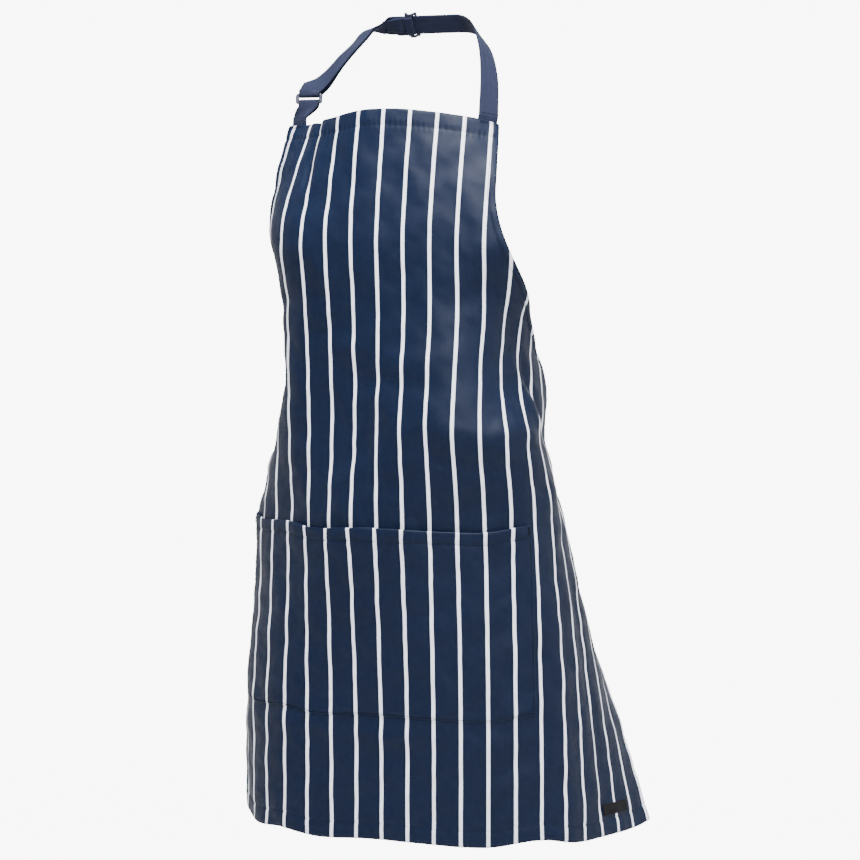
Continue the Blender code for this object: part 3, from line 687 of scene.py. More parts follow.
# ---------------------------------------------------------------- stitches
STITCH = 2.9 * MM
STITCH_SPACE = 0.6 * MM
THREAD = 0.26 * MM               # radius


def stitch_piece(name, centres, runs, ups, body, lengths=None, radius=THREAD,
                 nodes=()):
    """Short humps of thread, each along its run and standing on its up direction."""
    centres, runs, ups = (np.asarray(a, float) for a in (centres, runs, ups))
    lengths = np.full(len(centres), STITCH) if lengths is None else np.asarray(lengths)
    runs = runs / np.linalg.norm(runs, axis=-1, keepdims=True)
    sides = np.cross(runs, ups)
    sides = sides / np.linalg.norm(sides, axis=-1, keepdims=True)
    ups = np.cross(sides, runs)
    stations = np.array((-1.0, -0.86, -0.45, 0.0, 0.45, 0.86, 1.0))
    girth = np.array((0.45, 0.85, 1.0, 1.0, 1.0, 0.85, 0.45))
    rise = radius * (1.1 - 1.7 * stations ** 6)
    angles = np.arange(6) / 6 * 2 * math.pi
    ring = (sides[:, None, None] * np.cos(angles)[None, None, :, None]
            + ups[:, None, None] * np.sin(angles)[None, None, :, None])
    points = (centres[:, None, None]
              + runs[:, None, None] * (stations[None, :] * lengths[:, None] / 2)[..., None, None]
              + ups[:, None, None] * rise[None, :, None, None]
              + ring * (girth * radius)[None, :, None, None])
    rings, corners = len(stations), len(angles)
    size = rings * corners
    one = [tuple(reversed(face)) for face in grid_faces(rings, corners, closed=True)]
    one += [tuple(range(corners)), tuple(reversed(range(size - corners, size)))]
    faces = []
    for start in range(0, len(centres) * size, size):
        faces.extend(tuple(start + corner for corner in face) for face in one)
    flat = np.zeros((len(centres), rings, corners, 2))
    flat[..., 0] = (angles * radius)[None, None, :]
    flat[..., 1] = (stations[None, :] * lengths[:, None] / 2)[..., None]
    return new_piece(name, points, faces, flat, THREAD_LOOK, body, nodes)


def along_line(points, ups):
    """Stitch centres, runs and up directions at even steps on a line of points."""
    points = np.asarray(points, float)
    lengths = np.linalg.norm(np.diff(points, axis=0), axis=1)
    reach = np.concatenate([[0.0], np.cumsum(lengths)])
    pitch = STITCH + STITCH_SPACE
    count = max(1, int(reach[-1] / pitch))
    middles = (np.arange(count) + 0.5) * reach[-1] / count

    def read(rows, places):
        return np.stack([np.interp(places, reach, rows[:, axis]) for axis in range(3)], -1)

    run = read(points, middles + 0.3 * pitch) - read(points, middles - 0.3 * pitch)
    return read(points, middles), run, read(ups, middles)


def sew_on_cloth(name, lines, lift=0.0, back=True, back_lift=None):
    """Rows of stitches on the cloth along flat lines, and their undersides behind it."""
    centres, runs, ups = [], [], []
    for s, t, rise in lines:
        faces = [(1, rise + lift)]
        if back:
            faces.append((-1, back_lift if back_lift is not None else -3 * CLOTH - 0.05 * MM))
        for way, height in faces:
            points = on_cloth(s, t, height + seams(s, t) * (1.0 if way > 0 else 0.6))
            spots, run, normals = along_line(points, outward(s, t) * way)
            centres.append(spots)
            runs.append(run)
            ups.append(normals)
    return stitch_piece(name, np.concatenate(centres), np.concatenate(runs),
                        np.concatenate(ups), "apron")


def sew_the_body():
    """Rows of stitches along every hem of the body."""
    top = np.linspace(-BIB_HALF_WIDTH + 3 * MM, BIB_HALF_WIDTH - 3 * MM, 300)
    sew_on_cloth("bib_top_stitches", [(top, top * 0 + TOP_HEM - STITCH_IN, 0.0)])
    low = np.linspace(-HALF_WIDTH + 3 * MM, HALF_WIDTH - 3 * MM, 700)
    sew_on_cloth("bottom_stitches", [(low, low * 0 + LENGTH - BOTTOM_HEM + STITCH_IN, 0.0)])
    inset = SIDE_HEM - STITCH_IN
    for side, sign in SIDES:
        t, slope, length = armhole_levels(2 * MM, 60, 260)
        s = sign * (edge_of_sheet(t) - inset / length)
        sew_on_cloth("armhole_stitches_" + side, [(s, t + slope / length * inset, 0.0)])
        t = np.linspace(ARMHOLE_END + 4 * MM, LENGTH - 3 * MM, 400)
        sew_on_cloth("side_stitches_" + side, [(t * 0 + sign * (HALF_WIDTH - inset), t, 0.0)])


def sew_the_pocket():
    """Rows of stitches round the pocket and along its mouth's hem."""
    s = np.linspace(-POCKET_HALF_WIDTH + 3 * MM, POCKET_HALF_WIDTH - 3 * MM, 350)
    t = s * 0 + POCKET_TOP + POCKET_HEM - STITCH_IN
    edge = POCKET_HALF_WIDTH - STITCH_IN
    down = np.linspace(POCKET_TOP + 3 * MM, POCKET_BOTTOM - STITCH_IN, 200)
    foot = np.linspace(-edge, edge, 350)
    foot_t = foot * 0 + POCKET_BOTTOM - STITCH_IN
    rows = [(s, t), (foot, foot_t)]
    rows += [(down * 0 + sign * edge, down) for sign in (-1, 1)]
    lines = [(s, t, pocket_lift(s, t) + pocket_seams(s, t) - seams(s, t)) for s, t in rows]
    sew_on_cloth("pocket_stitches", lines, back=False)
    sew_on_cloth("pocket_stitch_undersides",
                 [(s, t, 0.0) for s, t in rows[1:]], lift=-3 * MM, back=True,
                 back_lift=-CLOTH - 0.05 * MM)


def make_bartack(name, side):
    """A dense bar of short threads across the top of the pocket's side stitches."""
    count = 17
    middle = side * (POCKET_HALF_WIDTH - 4.4 * MM)
    t = POCKET_TOP + 2.2 * MM + np.arange(count) * 0.62 * MM
    s = np.full(count, middle)
    lift = pocket_lift(s, t) + pocket_seams(s, t) + 0.05 * MM
    centres = on_cloth(s, t, lift)
    runs = on_cloth(s + MM, t + 0.3 * MM * (-1) ** np.arange(count), lift) - centres
    return stitch_piece(name, centres, runs, outward(s, t), "apron",
                        lengths=np.full(count, 2.8 * MM), radius=0.33 * MM,
                        nodes=("pocket_" + name,))


# ---------------------------------------------------------------- tapes
STRAP_RUN = Vector((-1.0, 0.0, 0.04)).normalized()
STRAP_FACE = Vector((0.0, 0.85, 0.53))
STRAP_FACE = (STRAP_FACE - STRAP_RUN * STRAP_FACE.dot(STRAP_RUN)).normalized()


def at_neck(along):
    """A point of the strap's straight run, whose inner face passes through the origin."""
    return STRAP_RUN * along + STRAP_FACE * TAPE / 2


# The neck strap's route: from the bib's left corner up round the neck to the ring.
STRAP_ROUTE = (
    ((124 * MM, -80 * MM, -84 * MM), (0.78, -0.62, 0.05)),
    ((98 * MM, -42 * MM, -34 * MM), (0.90, -0.15, 0.42)),
    ((72 * MM, -16 * MM, -10 * MM), (0.72, 0.45, 0.52)),
    (at_neck(-44 * MM), STRAP_FACE),
    (at_neck(-36 * MM), STRAP_FACE),
    (at_neck(0.0), STRAP_FACE),
    (at_neck(44 * MM), STRAP_FACE),
    (at_neck(52 * MM), STRAP_FACE),
    ((-72 * MM, -20 * MM, -3 * MM), (-0.23, -0.30, 0.92)),
    ((-79 * MM, -43 * MM, -23 * MM), (-0.31, -0.55, 0.77)),
    ((-86 * MM, -66 * MM, -43 * MM), (-0.26, -0.66, 0.70)),
    ((-112 * MM, -84 * MM, -79 * MM), (-0.10, -0.88, 0.46)),
)
RING_FACE = Vector((0.25, -0.96, 0.12)).normalized()
RING_ACROSS = Vector((0.96, 0.25, 0.0)).normalized()
RING_UP = RING_ACROSS.cross(RING_FACE).normalized() * -1
RING_CENTRE = Vector((-124 * MM, -96 * MM, -102 * MM))
RING_HALF_HEIGHT = 5.2 * MM
RING_TOP_BAR = RING_CENTRE + RING_UP * RING_HALF_HEIGHT
RING_LOW_BAR = RING_CENTRE - RING_UP * RING_HALF_HEIGHT
RING_WIRE = 1.9 * MM
RING_HALF_WIDTH = 15.4 * MM
STRAIGHT = 5 * MM
BAR_TURN = RING_WIRE + 3 * GAP + TAPE / 2
SLIDER_AT = 22 * MM
LOOP_LENGTH = 11 * MM
RETURN_END = 59 * MM             # where the return run stops, short of the slider
RETURN_GAP = TAPE + GAP + 1.5 * MM


def vec(array):
    """A Vector from any three numbers."""
    return Vector([float(value) for value in array])


def smooth_path(points, spacing):
    """Places and outward directions read from a smooth curve through given points."""
    places = [list(point[0]) for point in points]
    faces = [list(Vector(point[1]).normalized()) for point in points]
    reach = np.concatenate([[0.0], np.cumsum(
        np.linalg.norm(np.diff(np.array(places), axis=0), axis=1))])
    along = np.linspace(0, reach[-1], max(2, round(reach[-1] / spacing)) + 1)
    return [(vec(place), vec(face).normalized())
            for place, face in zip(hermite(reach, places, along), hermite(reach, faces, along))]


def square_up(path):
    """Turn each outward direction square to the path, and add the direction across it."""
    squared = []
    for index, point in enumerate(path):
        if len(point) == 3:
            squared.append(point)
            continue
        place, face = point
        before = path[max(index - 1, 0)][0]
        after = path[min(index + 1, len(path) - 1)][0]
        run = (after - before).normalized()
        face = (face - run * face.dot(run)).normalized()
        squared.append((place, face, run.cross(face)))
    return squared


def turn_round_bar(bar, arrive, face, radius, steps=14):
    """Points half way round a bar, from its front (the face side) under it to its back."""
    points = []
    for step in range(steps + 1):
        angle = math.pi * step / steps
        out = face * math.cos(angle) + arrive * math.sin(angle)
        points.append((bar + out * radius, out, arrive.cross(face)))
    return points


ACROSS_TAPE = np.linspace(-1.0, 1.0, 13)


def tape_rings(path, width, thickness=TAPE, pinch=None, cup=0.0):
    """Cross-sections of a tape with rounded selvedges, and their flat lengths.

    pinch(part) is the width's share and the depth of the gathers along the tape; cup bows
    the tape across its width.
    """
    frames = square_up(path)
    reach = 0.0
    rings, flats = [], []
    for index, (spot, face, across) in enumerate(frames):
        if index:
            reach += (spot - frames[index - 1][0]).length
        part = index / (len(frames) - 1)
        share, gather = pinch(part) if pinch else (1.0, 0.0)
        bulge = np.sqrt(np.clip(1 - np.abs(ACROSS_TAPE) ** 6, 0, 1)) * thickness / 2
        bulge = bulge + 0.10 * MM * np.exp(-((np.abs(ACROSS_TAPE) - 0.86) / 0.07) ** 2)
        bow = cup * (1 - ACROSS_TAPE ** 2) + gather * np.cos(ACROSS_TAPE * 3 * math.pi)
        side = ACROSS_TAPE * width / 2 * share
        front = [(x, b + h) for x, b, h in zip(side, bulge, bow)]
        back = [(x, -b + h) for x, b, h in zip(side, bulge, bow)][-2:0:-1]
        rings.append([spot + across * x + face * y for x, y in front + back])
        flat_side = ACROSS_TAPE * width / 2
        flats.append([(x, reach) for x in np.concatenate([flat_side, flat_side[-2:0:-1]])])
    return np.array(rings), np.array(flats)


def make_tape(name, path, width, body, nodes=(), **shape):
    """A piece of tape along a path; shape goes on to tape_rings."""
    rings, flats = tape_rings(path, width, **shape)
    return swept(name, rings, flats, TAPE_LOOK, body, nodes)


def strap_corner(side):
    """Where the strap leaves the bib's top edge, and where it starts clear above it.

    Gives the edge's place, the outward direction, the direction up and the strap's start.
    """
    s = np.array(side * (BIB_HALF_WIDTH - STRAP_INSET))
    base = read_grid(BASE_POINTS, s, np.array(0.0))
    below = read_grid(BASE_POINTS, s, np.array(0.02))
    facing = vec(read_grid(outward_of(BASE_POINTS), s, np.array(0.003))).normalized()
    lift = vec(base - below).normalized()
    corner = vec(base)
    return corner, facing, lift, corner + lift * HINGE_CLEARANCE - facing * (CLOTH / 2)


def strap_path():
    """The strap's outer run to the ring, its turn round the ring's bar, and its return."""
    _, facing, _, start = strap_corner(1)
    outer = smooth_path([(start, facing), *STRAP_ROUTE,
                         (RING_TOP_BAR + RING_UP * STRAIGHT + RING_FACE * BAR_TURN, RING_FACE)],
                        3 * MM)
    turn = turn_round_bar(RING_TOP_BAR, -RING_UP, RING_FACE, BAR_TURN)
    outer[-1] = (outer[-1][0], *turn[0][1:])
    turn.append((turn[-1][0] + RING_UP * STRAIGHT, *turn[-1][1:]))
    squared = square_up(outer)
    inner = []
    from_ring = 0.0
    for index in range(len(outer) - 2, 0, -1):
        place, face, _ = squared[index]
        from_ring += (squared[index + 1][0] - place).length
        if from_ring < 2 * STRAIGHT:
            continue
        if place.x > -RETURN_END:
            break
        near_ring = ease(1 - from_ring / (54 * MM))
        apart = RETURN_GAP + (2 * BAR_TURN - TAPE - GAP) * near_ring
        inner.append((place - face * apart, -face))
    return outer, turn, inner


OUTER_RUN, RING_TURN, RETURN_RUN = strap_path()


def make_neck_strap():
    """The neck strap in one run, up to the slider's side of its return."""
    make_tape("neck_strap_tape", OUTER_RUN + RING_TURN + RETURN_RUN, STRAP_WIDTH,
              "neck_loop", ("neck_strap",))


def slider_frame():
    """The slider's centre, its length's direction, its outward face and its width's direction."""
    return at_neck(SLIDER_AT), STRAP_RUN, STRAP_FACE, STRAP_RUN.cross(STRAP_FACE)


SLIDER_HALF_LENGTH = 8.5 * MM
SLIDER_HALF_WIDTH = 16.4 * MM
SLIDER_THICKNESS = 2.2 * MM
BAR = 3.0 * MM
SLIDER_ARCH = 5.2 * MM
LOOP_ARM = SLIDER_THICKNESS / 2 + GAP + TAPE / 2
LOOP_BAR_DEPTH = TAPE / 2 + GAP + SLIDER_THICKNESS / 2 - SLIDER_ARCH


def make_end_loop():
    """The strap's own end, turned round the slider's middle bar and stitched to itself."""
    centre, run, face, across = slider_frame()
    bar = centre + face * LOOP_BAR_DEPTH
    reach = BAR / 2 + 0.3 * MM
    path = [(bar + face * LOOP_ARM + run * LOOP_LENGTH * (1 - step / 4), face)
            for step in range(4)]
    path.append((bar + face * LOOP_ARM + run * reach, face))
    path += turn_round_bar(bar - run * reach * 0.6, -run, face, LOOP_ARM, 10)
    path += [(bar - face * LOOP_ARM + run * LOOP_LENGTH * step / 4, -face)
             for step in range(1, 5)]
    make_tape("strap_end_turn", path, STRAP_WIDTH - 1.2 * MM, "slider", ("strap_end_loop",))
    # The return run's last stretch, which meets the slider's loop at one end.
    last_place, last_face, _ = square_up(RETURN_RUN)[-1]
    first = bar - face * LOOP_ARM + run * LOOP_LENGTH
    route = [(last_place, last_face), (last_place.lerp(first, 0.3), last_face),
             (last_place.lerp(first, 0.75), -face), (first, -face)]
    path = smooth_path(route, 2 * MM)
    piece = make_tape("strap_return_tape", path, STRAP_WIDTH - 0.6 * MM, None)
    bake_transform(piece)
    # Two rows of stitches through both arms.
    spots, runs, ups = [], [], []
    for row in (0.62, 0.84):
        middle = bar - face * (LOOP_ARM + TAPE / 2) + run * LOOP_LENGTH * row
        for step in range(-3, 4):
            spots.append(middle + across * step * 3.4 * MM)
            runs.append(across)
            ups.append(-face)
    stitch_piece("strap_end_stitches", spots, runs, ups, "slider")


def strap_foot_path(side):
    """The run of a tape's sewn end, behind the bib's top hem, up to the bib's edge."""
    s = side * (BIB_HALF_WIDTH - STRAP_INSET)
    inward = 4 * CLOTH + 0.5 * MM + TAPE / 2
    path = []
    for t in np.linspace(TOP_HEM - 1.2 * MM, 0.8 * MM, 9):
        face = vec(outward(np.array(s), np.array(t)))
        side_way = vec(on_cloth(s - side * 5 * MM, t) - on_cloth(s + side * 5 * MM, t))
        path.append((vec(on_cloth(s, t, -inward)), face, side_way.normalized() * side))
    return path


def frames_between(first, last, count):
    """Frames eased from one to another."""
    frames = []
    for step in range(1, count):
        part = step / count
        eased = ease(part)
        frames.append((first[0].lerp(last[0], part), first[1].lerp(last[1], eased).normalized(),
                       first[2].lerp(last[2], eased).normalized()))
    return frames


def make_strap_feet():
    """Left: the neck strap's foot.  Right: the ring tab, folded round the ring's lower bar."""
    for side, name, node in ((1, "neck_strap_foot", "strap_sewn_end"),
                             (-1, "ring_tab_foot", "ring_tab_sewn_end")):
        corner, _, lift, start = strap_corner(side)
        sewn = strap_foot_path(side)
        if side > 0:
            top = square_up(OUTER_RUN)[0]
        else:
            top = tab_frames()[0]
            top = (start, top[1], top[2])
        if top[2].dot(sewn[-1][2]) < 0:
            sewn = [(place, face, -across) for place, face, across in sewn]
        path = sewn + frames_between(sewn[-1], top, 6) + [top]
        thickness = TAPE if side > 0 else 2 * TAPE + GAP
        piece = make_tape(name, path, STRAP_WIDTH, None, thickness=thickness)
        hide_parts(node)
        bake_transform(piece)


def tab_frames():
    """The front and back runs of the ring tab, which leans and turns to the ring's bar."""
    _, facing, lift, start = strap_corner(-1)
    turn = turn_round_bar(RING_LOW_BAR, RING_UP, RING_FACE, BAR_TURN)
    end = RING_LOW_BAR - RING_UP * STRAIGHT
    steps = 12
    rise, back = [], []
    for step in range(steps + 1):
        part = step / steps
        eased = ease(part)
        middle = start.lerp(end, part)
        out = facing.lerp(RING_FACE, eased).normalized()
        width_way = lift.cross(facing).lerp(turn[0][2], eased).normalized()
        apart = (TAPE + GAP) / 2 * (1 - part) + BAR_TURN * part
        rise.append((middle + out * apart, out, width_way))
        back.append((middle - out * apart, -out, width_way))
    return rise + turn + back[::-1]


def make_ring_tab():
    """The short doubled tab between the bib's corner and the ring."""
    make_tape("ring_tab_tape", tab_frames(), STRAP_WIDTH, "neck_loop", ("ring_tab",))


# ---------------------------------------------------------------- plastic fittings
ROD_SIDES = 16


def make_ring():
    """A rectangle of rounded rod with rounded corners, through both loops of tape."""
    corner = 1.9 * MM
    centre_line = []
    for quarter, (sign_x, sign_y) in enumerate(((1, 1), (-1, 1), (-1, -1), (1, -1))):
        for step in range(9):
            angle = math.pi / 2 * (quarter + step / 8)
            x = sign_x * (RING_HALF_WIDTH - corner) + corner * math.cos(angle)
            y = sign_y * (RING_HALF_HEIGHT - corner) + corner * math.sin(angle)
            centre_line.append((x, y, math.cos(angle), math.sin(angle)))
    rings, flats = [], []
    for x, y, out_x, out_y in centre_line:
        section = []
        end_bar = abs(out_x)
        for step in range(ROD_SIDES):
            angle = step / ROD_SIDES * 2 * math.pi
            outward_share = math.copysign(abs(math.cos(angle)) ** 0.75, math.cos(angle))
            face_share = math.copysign(abs(math.sin(angle)) ** 0.75, math.sin(angle))
            reach = RING_WIRE * outward_share * (1 + 0.25 * end_bar)
            section.append(RING_CENTRE + RING_ACROSS * (x + out_x * reach)
                           + RING_UP * (y + out_y * reach) + RING_FACE * RING_WIRE * face_share)
        rings.append(section)
        flats.append([(0.0, 0.0)] * ROD_SIDES)
    columns = ROD_SIDES
    faces = grid_faces(len(rings), columns, closed=True)
    last = (len(rings) - 1) * columns
    faces += [(last + column, column, (column + 1) % columns, last + (column + 1) % columns)
              for column in range(columns)]
    new_piece("strap_ring_rod", rings, faces, flats, PLASTIC_LOOK, "ring",
              ("strap_ring",))


def make_slider():
    """A three-bar slider with soft edges; its middle bar stands inside the end bars."""
    centre, run, face, across = slider_frame()
    slot_end = SLIDER_HALF_LENGTH - BAR
    xs = (-SLIDER_HALF_WIDTH, -SLIDER_HALF_WIDTH + BAR, 0.0, SLIDER_HALF_WIDTH - BAR,
          SLIDER_HALF_WIDTH)
    inner = list(np.linspace(-slot_end, -BAR / 2, 6)) + list(np.linspace(BAR / 2, slot_end, 6))
    ys = [-SLIDER_HALF_LENGTH] + inner + [SLIDER_HALF_LENGTH]
    points, flats = [], []
    for y in ys:
        fall = SLIDER_ARCH * ease((slot_end - abs(y)) / (slot_end - BAR / 2))
        for x in xs:
            points.append(centre + across * x + run * y
                          + face * (TAPE / 2 + GAP + SLIDER_THICKNESS - fall))
            flats.append((x, y))
    faces = []
    for row in range(len(ys) - 1):
        solid_row = row in (0, 6, len(ys) - 2)
        for column in range(len(xs) - 1):
            if column in (0, len(xs) - 2) or solid_row:
                first = row * len(xs) + column
                faces.append((first, first + 1, first + len(xs) + 1, first + len(xs)))
    piece = new_piece("strap_slider_body", points, faces, flats, PLASTIC_LOOK, "slider",
                      ("strap_slider",))
    if piece.data.polygons[0].normal.dot(face) < 0:
        piece.data.flip_normals()
    thicken(piece, SLIDER_THICKNESS)
    edge = piece.modifiers.new("soft_edges", "BEVEL")
    edge.width = 0.5 * MM
    edge.segments = 3
    edge.limit_method = "ANGLE"
    edge.angle_limit = math.radians(50)


# ---------------------------------------------------------------- waist ties and bow
TIE_DROP = 0.356                 # level on the sheet where the ties are sewn on
TIE_SEWN = 0.030                 # how far in from the side edge the sewn end reaches
KNOT = Vector((8 * MM, 128 * MM, -528 * MM))
KNOT_SIZE = Vector((15 * MM, 9 * MM, 15 * MM))


def make_tie(side_name, side):
    """A waist tie, from its sewn end round the hip to the knot, gathered where it enters."""
    inward = 4 * CLOTH + 2 * GAP + TAPE
    edge = np.array(side * HALF_WIDTH)
    drop = np.array(TIE_DROP)
    facing = vec(outward(np.array(side * (HALF_WIDTH - 0.01)), drop))
    corner = vec(read_grid(BASE_POINTS, edge, drop)) - facing * inward
    inner = vec(read_grid(BASE_POINTS, edge - side * TIE_SEWN, drop)) - facing * inward
    onward = corner + (corner - inner).normalized() * 0.006
    last = KNOT + Vector((side * KNOT_SIZE.x * 0.75, 0.0, 0.0))
    halfway = onward.lerp(last, 0.5) + Vector((0.0, 6 * MM, -2 * MM))
    path = []
    for share in (1.0, 0.66, 0.33):
        s = np.array(side * (HALF_WIDTH - TIE_SEWN * share))
        place = vec(on_cloth(s, drop, -inward + TAPE / 2))
        path.append((place, vec(outward(s, drop))))
    path += [(onward, facing), (halfway, Vector((side * 0.2, 1.0, 0.0))),
             (last, Vector((0.0, 1.0, 0.0)))]

    def pinch(part):
        close = ease((part - 0.78) / 0.22)
        return 1 - 0.42 * close, 1.3 * MM * close

    make_tape("waist_tie_tape_" + side_name, smooth_path(path, 3 * MM), TIE_WIDTH, "apron",
              ("waist_tie_" + side_name, "tie_sewn_end_" + side_name), pinch=pinch)


def make_bow_loop(side_name, side):
    """A drooping loop of tape that leaves the knot and comes back to it."""
    points = (
        (9, 6, 3, 0.0, 0.2, 1.0), (17, 14, 6, 0.0, 0.1, 1.0), (36, 17, 14, -0.2, 0.0, 1.0),
        (60, 18, 6, 0.6, 0.0, 0.8), (70, 18, -10, 1.0, 0.0, -0.2), (58, 18, -22, 0.4, 0.0, -0.9),
        (36, 17, -15, -0.3, 0.0, -0.9), (17, 14, -6, -0.3, 0.0, -0.9),
        (9, 6, -3, -0.2, 0.0, -0.9),
    )
    route = [(KNOT + Vector((side * x * MM, y * MM, z * MM)), Vector((side * nx, ny, nz)))
             for x, y, z, nx, ny, nz in points]

    def pinch(part):
        close = ease(abs(part - 0.5) * 2 / 0.4 - 1.5)
        return 1 - 0.45 * close, 1.2 * MM * close

    make_tape("bow_loop_tape_" + side_name, smooth_path(route, 2.5 * MM), TIE_WIDTH, "apron",
              ("bow_loop_" + side_name,), pinch=pinch)


TAIL_LENGTH = 0.235


def make_tail(side_name, side):
    """A loose end of a waist tie, hanging from the knot, with a folded and stitched end."""
    top = KNOT + Vector((side * (TIE_WIDTH / 2 + 2 * MM), 0.0, -KNOT_SIZE.z - 3 * MM))
    sway = side * 20 * MM
    points = [(top + Vector((-side * 7 * MM, -1 * MM, 11 * MM)), Vector((side * 0.5, 1.0, 0.3))),
              (top, Vector((side * 0.3, 1.0, 0.1)))]
    for part, lean in ((0.33, 0.2), (0.66, -0.1), (1.0, 0.15)):
        place = top + Vector((sway * part, 6 * MM * part, -TAIL_LENGTH * part))
        points.append((place, Vector((side * lean, 1.0, 0.1))))

    def pinch(part):
        close = ease(1 - part / 0.16)
        return 1 - 0.45 * close, 1.2 * MM * close

    path = smooth_path(points, 3 * MM)
    make_tape("bow_tail_tape_" + side_name, path, TIE_WIDTH, "tail_" + side_name,
              ("bow_tail_" + side_name,), pinch=pinch)
    place, face, across = square_up(path)[-4]
    fold = [(frames[0] + frames[1] * TAPE * 0.95, frames[1])
            for frames in square_up(path)[-5:]]
    make_tape("bow_tail_fold_" + side_name, fold, TIE_WIDTH - 0.4 * MM, "tail_" + side_name,
              thickness=0.9 * TAPE)
    spots = [place + face * TAPE * 1.5 + across * step * 3.4 * MM for step in range(-3, 4)]
    stitch_piece("bow_tail_stitches_" + side_name, spots, [across] * 7, [face] * 7,
                 "tail_" + side_name)


def make_knot():
    """The bow's knot: a gathered core with the tape wrapped once round it, top to bottom."""
    rings, flats = [], []
    for row in range(25):
        latitude = math.pi * (row / 24 - 0.5)
        ring, flat = [], []
        for column in range(40):
            angle = column / 40 * 2 * math.pi
            crease = 1 - 0.10 * math.cos(angle * 7 + math.sin(latitude * 3)) ** 2
            spread = abs(math.cos(latitude)) ** 0.7 * crease
            ring.append(KNOT + Vector((KNOT_SIZE.x * 0.86 * spread * math.cos(angle),
                                       KNOT_SIZE.y * 0.80 * spread * math.sin(angle),
                                       KNOT_SIZE.z * 0.80 * math.sin(latitude))))
            flat.append((angle * 8 * MM, latitude * 12 * MM))
        rings.append(ring)
        flats.append(flat)
    core = swept("bow_knot_core", rings, flats, TAPE_LOOK, "apron", ("bow_knot",))
    core.data.flip_normals()
    wrap = []
    for step in range(49):
        angle = step / 48 * 2 * math.pi
        out = Vector((0.12 * math.sin(angle * 2), math.cos(angle), math.sin(angle)))
        place = KNOT + Vector((0.9 * MM * math.sin(angle), KNOT_SIZE.y * 0.98 * math.cos(angle),
                               KNOT_SIZE.z * 0.93 * math.sin(angle)))
        wrap.append((place, out.normalized(), Vector((1.0, 0.06 * math.cos(angle), 0.0))))

    def pinch(part):
        return 0.72 + 0.07 * math.cos(part * 4 * math.pi), 0.55 * MM

    make_tape("bow_knot_wrap", wrap, TIE_WIDTH, "apron", pinch=pinch)


def make_tie_stitches(side_name, side):
    """A stitched box with a cross through the tie's sewn end, seen on the cloth's front."""
    lines = []
    half = TIE_WIDTH / 2 - 3 * MM
    near, far = 4 * MM, 26 * MM
    corners = ((near, -half), (far, -half), (far, half), (near, half), (near, -half),
               (far, half), (far, -half), (near, half))
    for (a, b), (c, d) in zip(corners, corners[1:]):
        part = np.linspace(0, 1, 12)
        lines.append((side * (HALF_WIDTH - a - (c - a) * part), TIE_DROP + b + (d - b) * part,
                      0.0))
    sew_on_cloth("tie_stitches_" + side_name, lines,
                 back_lift=-4 * CLOTH - 2 * GAP - TAPE - 0.1 * MM)


def sew_strap_feet():
    """Two rows of stitches through each tape's sewn end and the bib's hem."""
    for name, side in SIDES:
        middle = side * (BIB_HALF_WIDTH - STRAP_INSET)
        half = STRAP_WIDTH / 2 - 1.5 * MM
        s = middle + np.linspace(-half, half, 30)
        sew_on_cloth("strap_foot_stitches_" + name,
                     [(s, s * 0 + t, 0.0) for t in (2.6 * MM, 4.4 * MM)],
                     back_lift=-4 * CLOTH - 0.5 * MM - TAPE - 0.1 * MM)


# ---------------------------------------------------------------- label
LABEL_WIDTH = 0.053
LABEL_HEIGHT = 0.014
LABEL_AT = (0.357, 0.883)


def make_label():
    """A blank woven label with turned ends, stitched down at both of them."""
    u = np.linspace(-1, 1, 45)
    v = np.linspace(-1, 1, 13)
    s = LABEL_AT[0] + LABEL_WIDTH / 2 * u[None, :] + v[:, None] * 0
    t = LABEL_AT[1] + LABEL_HEIGHT / 2 * v[:, None] + u[None, :] * 0
    edge = np.minimum((1 - np.abs(u))[None, :] * LABEL_WIDTH / 2,
                      (1 - np.abs(v))[:, None] * LABEL_HEIGHT / 2)
    lift = 1.15 * MM + 0.25 * MM * smooth(edge / (2.5 * MM)) + seams(s, t)
    piece = cloth_sheet("label_cloth", "woven_label", s, t, lift, 0.9 * MM, LABEL_LOOK)
    rim = 1.4 * MM
    lines = []
    for end in (-1, 1):
        t = np.linspace(LABEL_AT[1] - LABEL_HEIGHT / 2 + rim, LABEL_AT[1] + LABEL_HEIGHT / 2 - rim,
                        12)
        lines.append((t * 0 + LABEL_AT[0] + end * (LABEL_WIDTH / 2 - rim), t, 1.35 * MM))
    sew_on_cloth("label_stitches", lines, back=False)
    return piece


# ---------------------------------------------------------------- studio
def make_stage():
    """A pale round studio: a floor that curves up into a wall on every side."""
    floor, radius, curve, top = -1.62, 5.2, 1.6, 4.5
    profile = [(0.001, floor), (radius - curve, floor)]
    profile += [(radius - curve + curve * math.sin(a), floor + curve * (1 - math.cos(a)))
                for a in np.linspace(0.1, math.pi / 2, 12)]
    profile.append((radius, top))
    turns = 72
    points = [(r * math.cos(a), r * math.sin(a), z)
              for r, z in profile for a in np.arange(turns) / turns * 2 * math.pi]
    faces = [tuple(reversed(face)) for face in grid_faces(len(profile), turns, closed=True)]
    mesh = bpy.data.meshes.new("studio")
    mesh.from_pydata(points, [], faces)
    mesh.polygons.foreach_set("use_smooth", [True] * len(mesh.polygons))
    kit = Nodes("studio_white", 0.9)
    kit.put("Base Color", (0.88, 0.88, 0.89, 1.0))
    kit.put("Emission Color", (1.0, 1.0, 1.0, 1.0))
    seen = kit.add("ShaderNodeLightPath").outputs["Is Camera Ray"]
    kit.put("Emission Strength", kit.math("MULTIPLY_ADD", seen, 7.5, 0.07))
    mesh.materials.append(kit.material)
    studio = bpy.data.objects.new("studio", mesh)
    bpy.context.scene.collection.objects.link(studio)


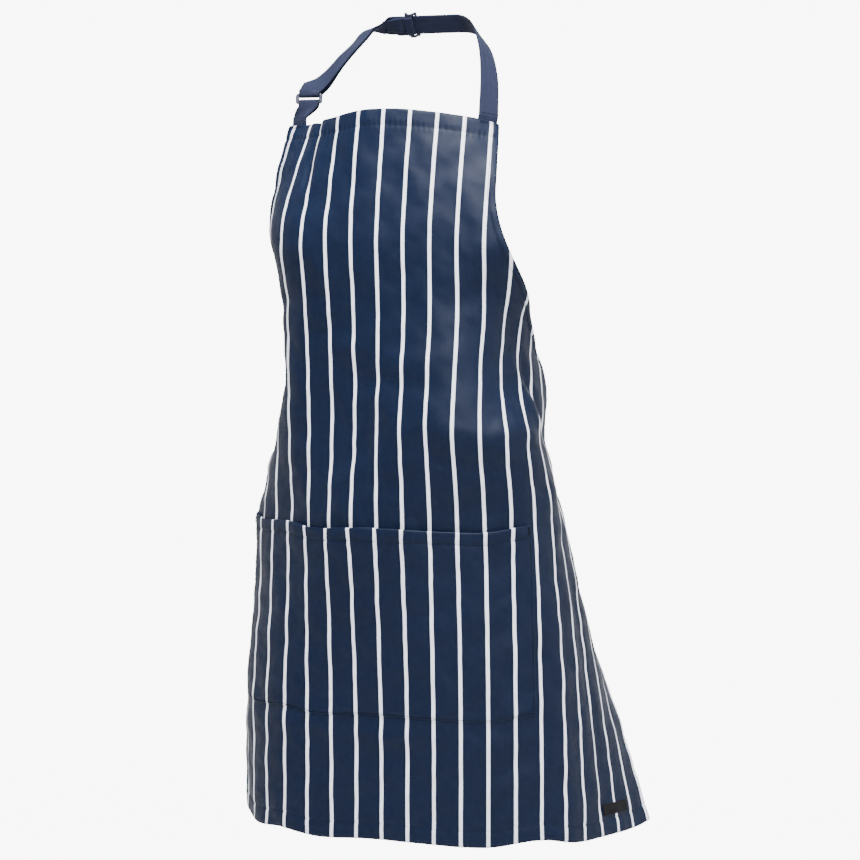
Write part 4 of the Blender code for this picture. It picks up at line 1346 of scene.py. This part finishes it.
def add_light(name, place, target, size, energy):
    """A rectangular softbox that points at a target."""
    light = bpy.data.lights.new(name, "AREA")
    light.shape = "RECTANGLE"
    light.size, light.size_y = size
    light.energy = energy
    lamp = bpy.data.objects.new(name, light)
    bpy.context.scene.collection.objects.link(lamp)
    lamp.location = place
    lamp.rotation_euler = (Vector(target) - Vector(place)).to_track_quat("-Z", "Y").to_euler()


CAMERA_AZIMUTH = math.radians(25)
CAMERA_DISTANCE = 3.150
CAMERA_HEIGHT = -0.532
CAMERA_LENS = 100.4651           # millimetres, on a sensor 36 mm wide
MIDDLE = Vector((0.0, -0.05, -0.45))

# Name; place from the middle (ahead of the camera, to its right, up); how far over the middle
# the light points; size; watts.
LIGHTS = (
    ("top_softbox", (-0.70, 0.0, 1.85), 0.3, (1.0, 0.5), 130),
    ("front_softbox", (-2.2, 0.1, 1.55), 0.25, (1.8, 0.7), 100),
    ("right_softbox", (-0.6, 2.2, 0.3), 0.0, (0.9, 1.8), 16),
    ("left_softbox", (0.7, -1.9, 0.3), 0.0, (0.9, 1.8), 3),
)


def make_studio():
    """The stage, the camera, the lights and the even light of the surroundings."""
    make_stage()
    ahead = Vector((-math.sin(CAMERA_AZIMUTH), math.cos(CAMERA_AZIMUTH), 0.0))
    right = Vector((math.cos(CAMERA_AZIMUTH), math.sin(CAMERA_AZIMUTH), 0.0))
    up = Vector((0.0, 0.0, 1.0))
    lens = bpy.data.cameras.new("camera")
    lens.sensor_width = 36.0
    lens.lens = CAMERA_LENS
    camera = bpy.data.objects.new("camera", lens)
    bpy.context.scene.collection.objects.link(camera)
    camera.location = -ahead * CAMERA_DISTANCE + right * 0.004 + up * CAMERA_HEIGHT
    camera.rotation_euler = ahead.to_track_quat("-Z", "Y").to_euler()
    bpy.context.scene.camera = camera
    for name, (forward, sideways, above), aim, size, energy in LIGHTS:
        place = MIDDLE + ahead * forward + right * sideways + up * above
        add_light(name, place, MIDDLE + up * aim, size, energy)
    world = bpy.data.worlds.new("world")
    world.use_nodes = True
    background = world.node_tree.nodes["Background"]
    background.inputs["Color"].default_value = (1.0, 1.0, 1.0, 1.0)
    background.inputs["Strength"].default_value = 0.6
    bpy.context.scene.world = world


# ---------------------------------------------------------------- assembly
make_studio()
panel = make_panel()
hems = make_hems()
pocket, mouth_hem = make_pocket()
sew_the_body()
sew_the_pocket()
make_bartack("bartack_left", 1)
make_bartack("bartack_right", -1)
make_neck_strap()
make_strap_feet()
make_ring_tab()
make_end_loop()
sew_strap_feet()
make_ring()
make_slider()
for side_word, side_sign in SIDES:
    make_tie(side_word, side_sign)
    make_tie_stitches(side_word, side_sign)
    make_bow_loop(side_word, side_sign)
    make_tail(side_word, side_sign)
make_knot()
label = make_label()
